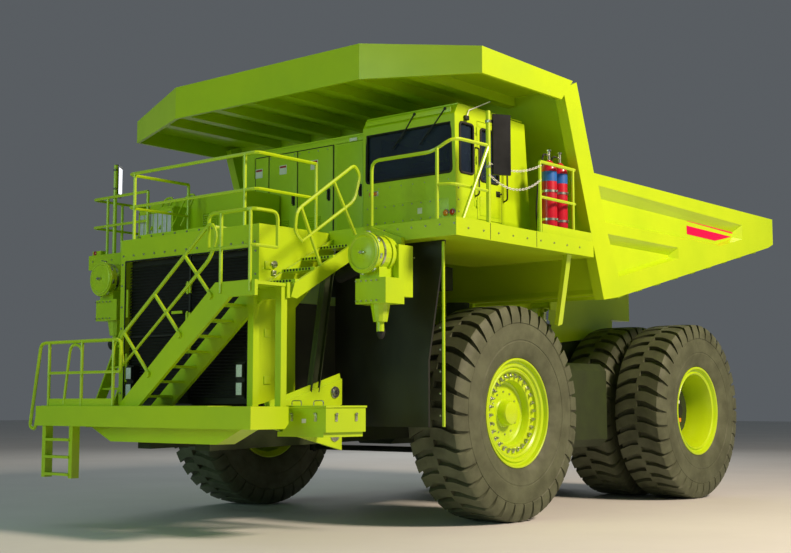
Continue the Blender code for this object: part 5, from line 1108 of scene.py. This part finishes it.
# ---------------------------------------------------------------- extinguisher bottles
FOOT, NECK = 3.985, 4.98     # heights of a bottle's base and shoulder
BOTTLE_X = 3.36
for number, y in enumerate((0.08, 0.36), 1):
    bottle = Piece(f"extinguisher_bottle_{number}", bottle_red)
    bottle.lathe([(0.0, 0.0), (0.0, 0.095), (0.015, 0.106), (0.03, 0.11), (NECK - FOOT - 0.06, 0.11),
                  (NECK - FOOT - 0.02, 0.104),
                  (NECK - FOOT + 0.03, 0.082), (NECK - FOOT + 0.07, 0.048), (NECK - FOOT + 0.085, 0.034),
                  (NECK - FOOT + 0.10, 0.0)], (BOTTLE_X, y, FOOT), (0, 0, 1), 40)
    bottle.finish(30.0, ("fire_bottles",) if number == 1 else ())
    band = Piece(f"bottle_blue_band_{number}", band_blue)
    band.lathe([(0.0, 0.1102), (0.0, 0.1115), (0.14, 0.1115), (0.14, 0.1102)], (BOTTLE_X, y, 4.76),
               (0, 0, 1), 40, closed=True)
    band.finish()
    clamp = Piece(f"bottle_clamps_{number}", zinc)
    for z in (4.22, 4.62):
        clamp.lathe([(-0.016, 0.111), (-0.016, 0.116), (0.016, 0.116), (0.016, 0.111)], (BOTTLE_X, y, z),
                    (0, 0, 1), 40,
                    closed=True)
        clamp.block((BOTTLE_X + 0.11, BOTTLE_X + 0.14), (y - 0.012, y + 0.012), (z - 0.014, z + 0.014), 0.003)
    clamp.rod((BOTTLE_X, y, 5.06), (BOTTLE_X, y, 5.20), 0.022, 16)
    clamp.rod((BOTTLE_X, y, 5.14), (BOTTLE_X, y - 0.07, 5.14), 0.012, 12)
    clamp.lathe([(0.0, 0.0), (0.0, 0.034), (0.02, 0.036), (0.025, 0.0)], (BOTTLE_X, y, 5.198), (0, 0, 1), 20)
    clamp.finish()
hose = Piece("extinguisher_hoses", seal_rubber)
hose.tube(rounded([(BOTTLE_X, 0.01, 5.14), (BOTTLE_X, -0.06, 5.14), (3.30, -0.10, 4.80),
                   (3.22, -0.05, 4.30), (3.20, 0.05, 3.99)], 0.12, 6), 0.012, 8)
hose.tube(rounded([(BOTTLE_X, 0.29, 5.14), (3.34, 0.22, 5.15), (3.24, 0.20, 4.90), (3.20, 0.22, 4.30),
                   (3.18, 0.25, 3.99)], 0.12, 6), 0.012, 8)
hose.finish()
rack = Piece("bottle_rack", enamel)
rack.block((3.225, 3.245), (-0.03, 0.47), (3.985, 4.70), 0.004)
rack.block((3.235, 3.34), (-0.02, 0.46), (4.60, 4.64), 0.004)
rack.block((3.235, 3.34), (-0.02, 0.46), (4.20, 4.24), 0.004)
rack.block((3.23, 3.50), (-0.05, 0.49), (3.981, 3.990), 0.002)
rack.finish()

# ---------------------------------------------------------------- chains across the deck's gap
LINK_WIRE = 0.007
LINK_BEND = 0.013       # radius of a link's ends
LINK_LONG = 0.052
link = Piece("chain_link", nylon)
oval = []
for i in range(16):
    a = 2 * math.pi * i / 16
    straight = math.copysign((LINK_LONG - 2 * LINK_BEND - LINK_WIRE) / 2, math.cos(a) + 1e-9)
    oval.append((0.0, LINK_BEND * math.sin(a), LINK_BEND * math.cos(a) + straight))
link.tube(oval, LINK_WIRE / 2, 6, closed=True)
link_shape = template(link)


def chain(name, start, end, sag, count):
    """A hanging nylon chain between two eyes; it sags by a parabola."""
    start, end = Vector(start), Vector(end)
    line = []
    for i in range(33):
        t = i / 32
        line.append(start.lerp(end, t) - Vector((0, 0, sag * 4 * t * (1 - t))) + Vector((0, AXLE_Y, 0)))
    curve = bpy.data.curves.new(name, "CURVE")
    curve.dimensions = "3D"
    spline = curve.splines.new("POLY")
    spline.points.add(len(line) - 1)
    for point, at in zip(spline.points, line):
        point.co = (*at, 1)
    path = bpy.data.objects.new(name + "_path", curve)
    bpy.context.scene.collection.objects.link(path)
    mesh = grow(CHAIN, {"Path": path, "Link": link_shape, "Count": count, "Material": nylon})
    drop(path)
    obj = settle(name, mesh, nylon, smooth=60.0)
    return obj


chain("access_chain_upper", (3.548, -1.60, 4.76), (3.548, -0.42, 4.90), 0.09, 32)
chain("access_chain_lower", (3.548, -1.60, 4.60), (3.548, -0.42, 4.70), 0.16, 33)
drop(link_shape)

# ---------------------------------------------------------------- right deck furniture
slats = Piece("vent_slat", aluminium)
slats.block((-0.042, 0.042), (-0.004, 0.004), (0.0, 0.50), 0.003)
rows("grid_box_slats", slats, [((-2.37, -2.526, 4.03), (0.107, 0, 0), 7)], aluminium)
box_trim = Piece("grid_box_frame", enamel)
for z in (4.00, 4.56):
    box_trim.block((-2.44, -1.64), (-2.534, -2.515), (z - 0.02, z + 0.02), 0.004)
for x in (-2.43, -1.65):
    box_trim.block((x - 0.014, x + 0.014), (-2.534, -2.515), (4.0, 4.58), 0.004)
box_trim.block((-2.45, -1.63), (-2.53, -2.17), (4.598, 4.612), 0.005)
box_trim.finish()
hoop = Piece("grid_box_hoops", enamel)
for x in (-2.13, -1.63):
    hoop.tube(rounded([(x, -2.55, 4.28), (x, -2.27, 4.80), (x + 0.20, -2.27, 4.80),
                       (x + 0.20, -2.55, 4.28)], 0.10, 6),
              0.017, 10)
hoop.finish()
Piece("deck_corner_lamp", enamel).block(
    (-3.50, -3.28), (-2.60, -2.50), (3.979, 4.05), 0.008).finish()
lens = Piece("deck_corner_lamp_lens", lens_red)
lens.lathe([(0.0, 0.034), (0.012, 0.034), (0.022, 0.022), (0.025, 0.0)], (-3.42, -2.60, 4.016),
           (0, -1, 0), 20)
lens.finish()
blade = Piece("blade", enamel)
blade.strut((-0.14, 0, 0), (0.14, 0, 0), 0.03, 0.008, up=(0, -0.8, 0.6))
rows("resistor_house_louvres", blade, [((-1.17, -2.208, 4.33), (0, 0, 0.034), 5)], enamel)
vent = Piece("louvre_surround", enamel)
for z in (4.30, 4.50):
    vent.block((-1.33, -1.01), (-2.214, -2.197), (z - 0.010, z + 0.010), 0.003)
for x in (-1.325, -1.015):
    vent.block((x - 0.010, x + 0.010), (-2.214, -2.197), (4.30, 4.50), 0.003)
vent.finish()

# ---------------------------------------------------------------- mirrors
# moulded ABS, mould-textured black: soft, dark highlights
mirror_shell = finish("moulded_abs_black", "black_paint", "#0C1214", "#101719", 0.2, 0.42, grain=0.008,
                      grain_depth=0.0004, Specular_IOR_Level=0.15)
MIRROR_REACH = 0.186    # post to the middle of the glass
low, high = span("mirror_right")
for label, x, y, middle, angle in (("left", 3.52, -1.60, 5.02, 60),
                                   ("right", -3.05, -2.52, (low.z + high.z) / 2, 128)):
    low, high = span(f"mirror_{label}")
    nodes[f"mirror_{label}"].material_slots[0].material = mirror_shell
    turn = Matrix.Rotation(math.radians(angle), 4, "Z")
    away = turn @ Vector((0, 1, 0))
    back = away if away.y > 0 else -away
    centre = Vector((x, y, middle)) + turn @ Vector((MIRROR_REACH, 0, 0))
    face = Piece(f"mirror_glass_{label}", mirror_glass, slot="glass")
    across = turn @ Vector((1, 0, 0))
    plane = centre + back * 0.026
    half = (high.z - low.z) / 2 - 0.04
    face.plate([plane - across * 0.105 + Vector((0, 0, -half)),
                plane + across * 0.105 + Vector((0, 0, -half)),
                plane + across * 0.105 + Vector((0, 0, half)),
                plane - across * 0.105 + Vector((0, 0, half))], back, 0.003)
    face.finish()
    clip = Piece(f"mirror_clamps_{label}", zinc)
    for z in (middle - half + 0.06, middle + half - 0.06):
        clip.block((x - 0.03, x + 0.03), (y - 0.03, y + 0.03), (z - 0.02, z + 0.02), 0.006)
    clip.finish()

# ---------------------------------------------------------------- body stripes
for side, label in SIDES:
    x = side * 3.401
    film = Piece(f"body_stripes_{label}", stripe_red, "tipping_body")
    film.plate([(x, 4.135, 4.645), (x, 4.135, 4.675), (x, 5.848, 4.640), (x, 5.848, 4.605)], (side, 0, 0),
               0.002)
    film.plate([(x, 4.125, 4.569), (x, 4.135, 4.427), (x, 5.159, 4.417), (x, 5.808, 4.549)], (side, 0, 0),
               0.002)
    film.finish()

# ---------------------------------------------------------------- front platform
box_low, box_high = span("battery_box")
lid_low, lid_high = span("battery_lid")
clasp = Piece("clasp", zinc)
clasp.block((-0.022, 0.022), (-0.060, 0.030), (0.0, 0.010), 0.003)
clasp.block((-0.013, 0.013), (-0.045, 0.045), (0.008, 0.018), 0.004)
clasp.rod((-0.024, 0.03, 0.012), (0.024, 0.03, 0.012), 0.008, 10)
rows("battery_box_clasps", clasp, [((2.03, box_low.y, 1.50), (0.40, 0, 0), 2, TO_FRONT),
                                   ((box_high.x, -3.50, 1.50), (0, 0.36, 0), 2,
                                    TO_LEFT @ Matrix.Rotation(math.pi / 2, 4, "Z"))],
     zinc)
wire = Piece("battery_lid_handles", zinc, "battery_hatch")
for x in (2.05, 2.42):
    wire.tube(rounded([(x - 0.08, -3.62, lid_high.z - 0.002), (x - 0.08, -3.62, lid_high.z + 0.06),
                       (x + 0.08, -3.62, lid_high.z + 0.06),
                       (x + 0.08, -3.62, lid_high.z - 0.002)], 0.03), 0.007, 8)
wire.finish()
Piece("blank_battery_label", label_white).block(
    (2.20, 2.27), (box_low.y - 0.003, box_low.y + 0.001), (1.42, 1.47)).finish()
pins = Piece("tow_pins", zinc)
for z in (1.80, 1.24):
    pins.lathe([(0.0, 0.0), (0.0, 0.075), (0.012, 0.078), (0.022, 0.070), (0.022, 0.045), (0.030, 0.042),
                (0.030, 0.0)],
               (1.80, -2.66, z), (1, 0, 0), 32)
pins.finish()
flange = Piece("platform_arm_flange", enamel)
flange.strut((1.775, -3.88, 1.60), (1.775, -2.53, 1.985), 0.13, 0.014, up=(1, 0, 0))
flange.finish()
# the prop stands in shadow: its dark olive is painted shade
prop = Piece("stair_prop", undercarriage_shade)
prop.strut((1.76, -3.03, 1.80), (1.76, -2.73, 3.56), 0.16, 0.012, up=(1, 0, 0))
prop.strut((1.76, -3.10, 1.80), (1.76, -2.80, 3.56), 0.014, 0.09, up=(1, 0, 0))
prop.strut((1.76, -2.96, 1.80), (1.76, -2.66, 3.56), 0.014, 0.09, up=(1, 0, 0))
prop.finish()
Piece("bumper_trim", enamel).block(
    (-2.10, 1.34), (-4.44, -4.04), (1.612, 1.626), 0.004).finish()

# stair treads: punched nosings
LANDING_REAR_Y, FLIGHT_RUN, FLIGHT_RISE = -3.73, 1.38, 0.72
PLATFORM_Z, LANDING_Z = 1.62, 3.14
# black discs stand for the punched holes in the risers: painted shade for the dark seen through each hole
hole_shade_disc = Piece("punched_riser_hole", seal_rubber)
hole_shade_disc.rod((0, 0, -0.002), (0, 0, 0.003), 0.016, 10)
holes = []
for step in range(4):
    share = (step + 0.6) / 4
    y = LANDING_REAR_Y + FLIGHT_RUN * share - 0.121
    z = LANDING_Z + FLIGHT_RISE * share - 0.07
    holes += [((1.50, y, z), (0.055, 0, 0), 9, TO_FRONT)]
rows("upper_stair_riser_holes", hole_shade_disc, holes, seal_rubber)
STAIR_FOOT_X, STAIR_RUN = -0.52, 1.87
nose = Piece("tread_stud", enamel)
nose.rod((0, 0, -0.002), (0, 0, 0.005), 0.011, 8, 0.007)
studs = []
for step in range(8):
    share = (step + 0.75) / 8
    z = PLATFORM_Z + (LANDING_Z - PLATFORM_Z) * share
    x = STAIR_FOOT_X + STAIR_RUN * share + 0.03
    studs += [((x + 0.04 + 0.055 * line, -4.29, z), (0, 0.055, 0), 9) for line in range(4)]
rows("front_stair_tread_studs", nose, studs, enamel)

low, high = cad_box
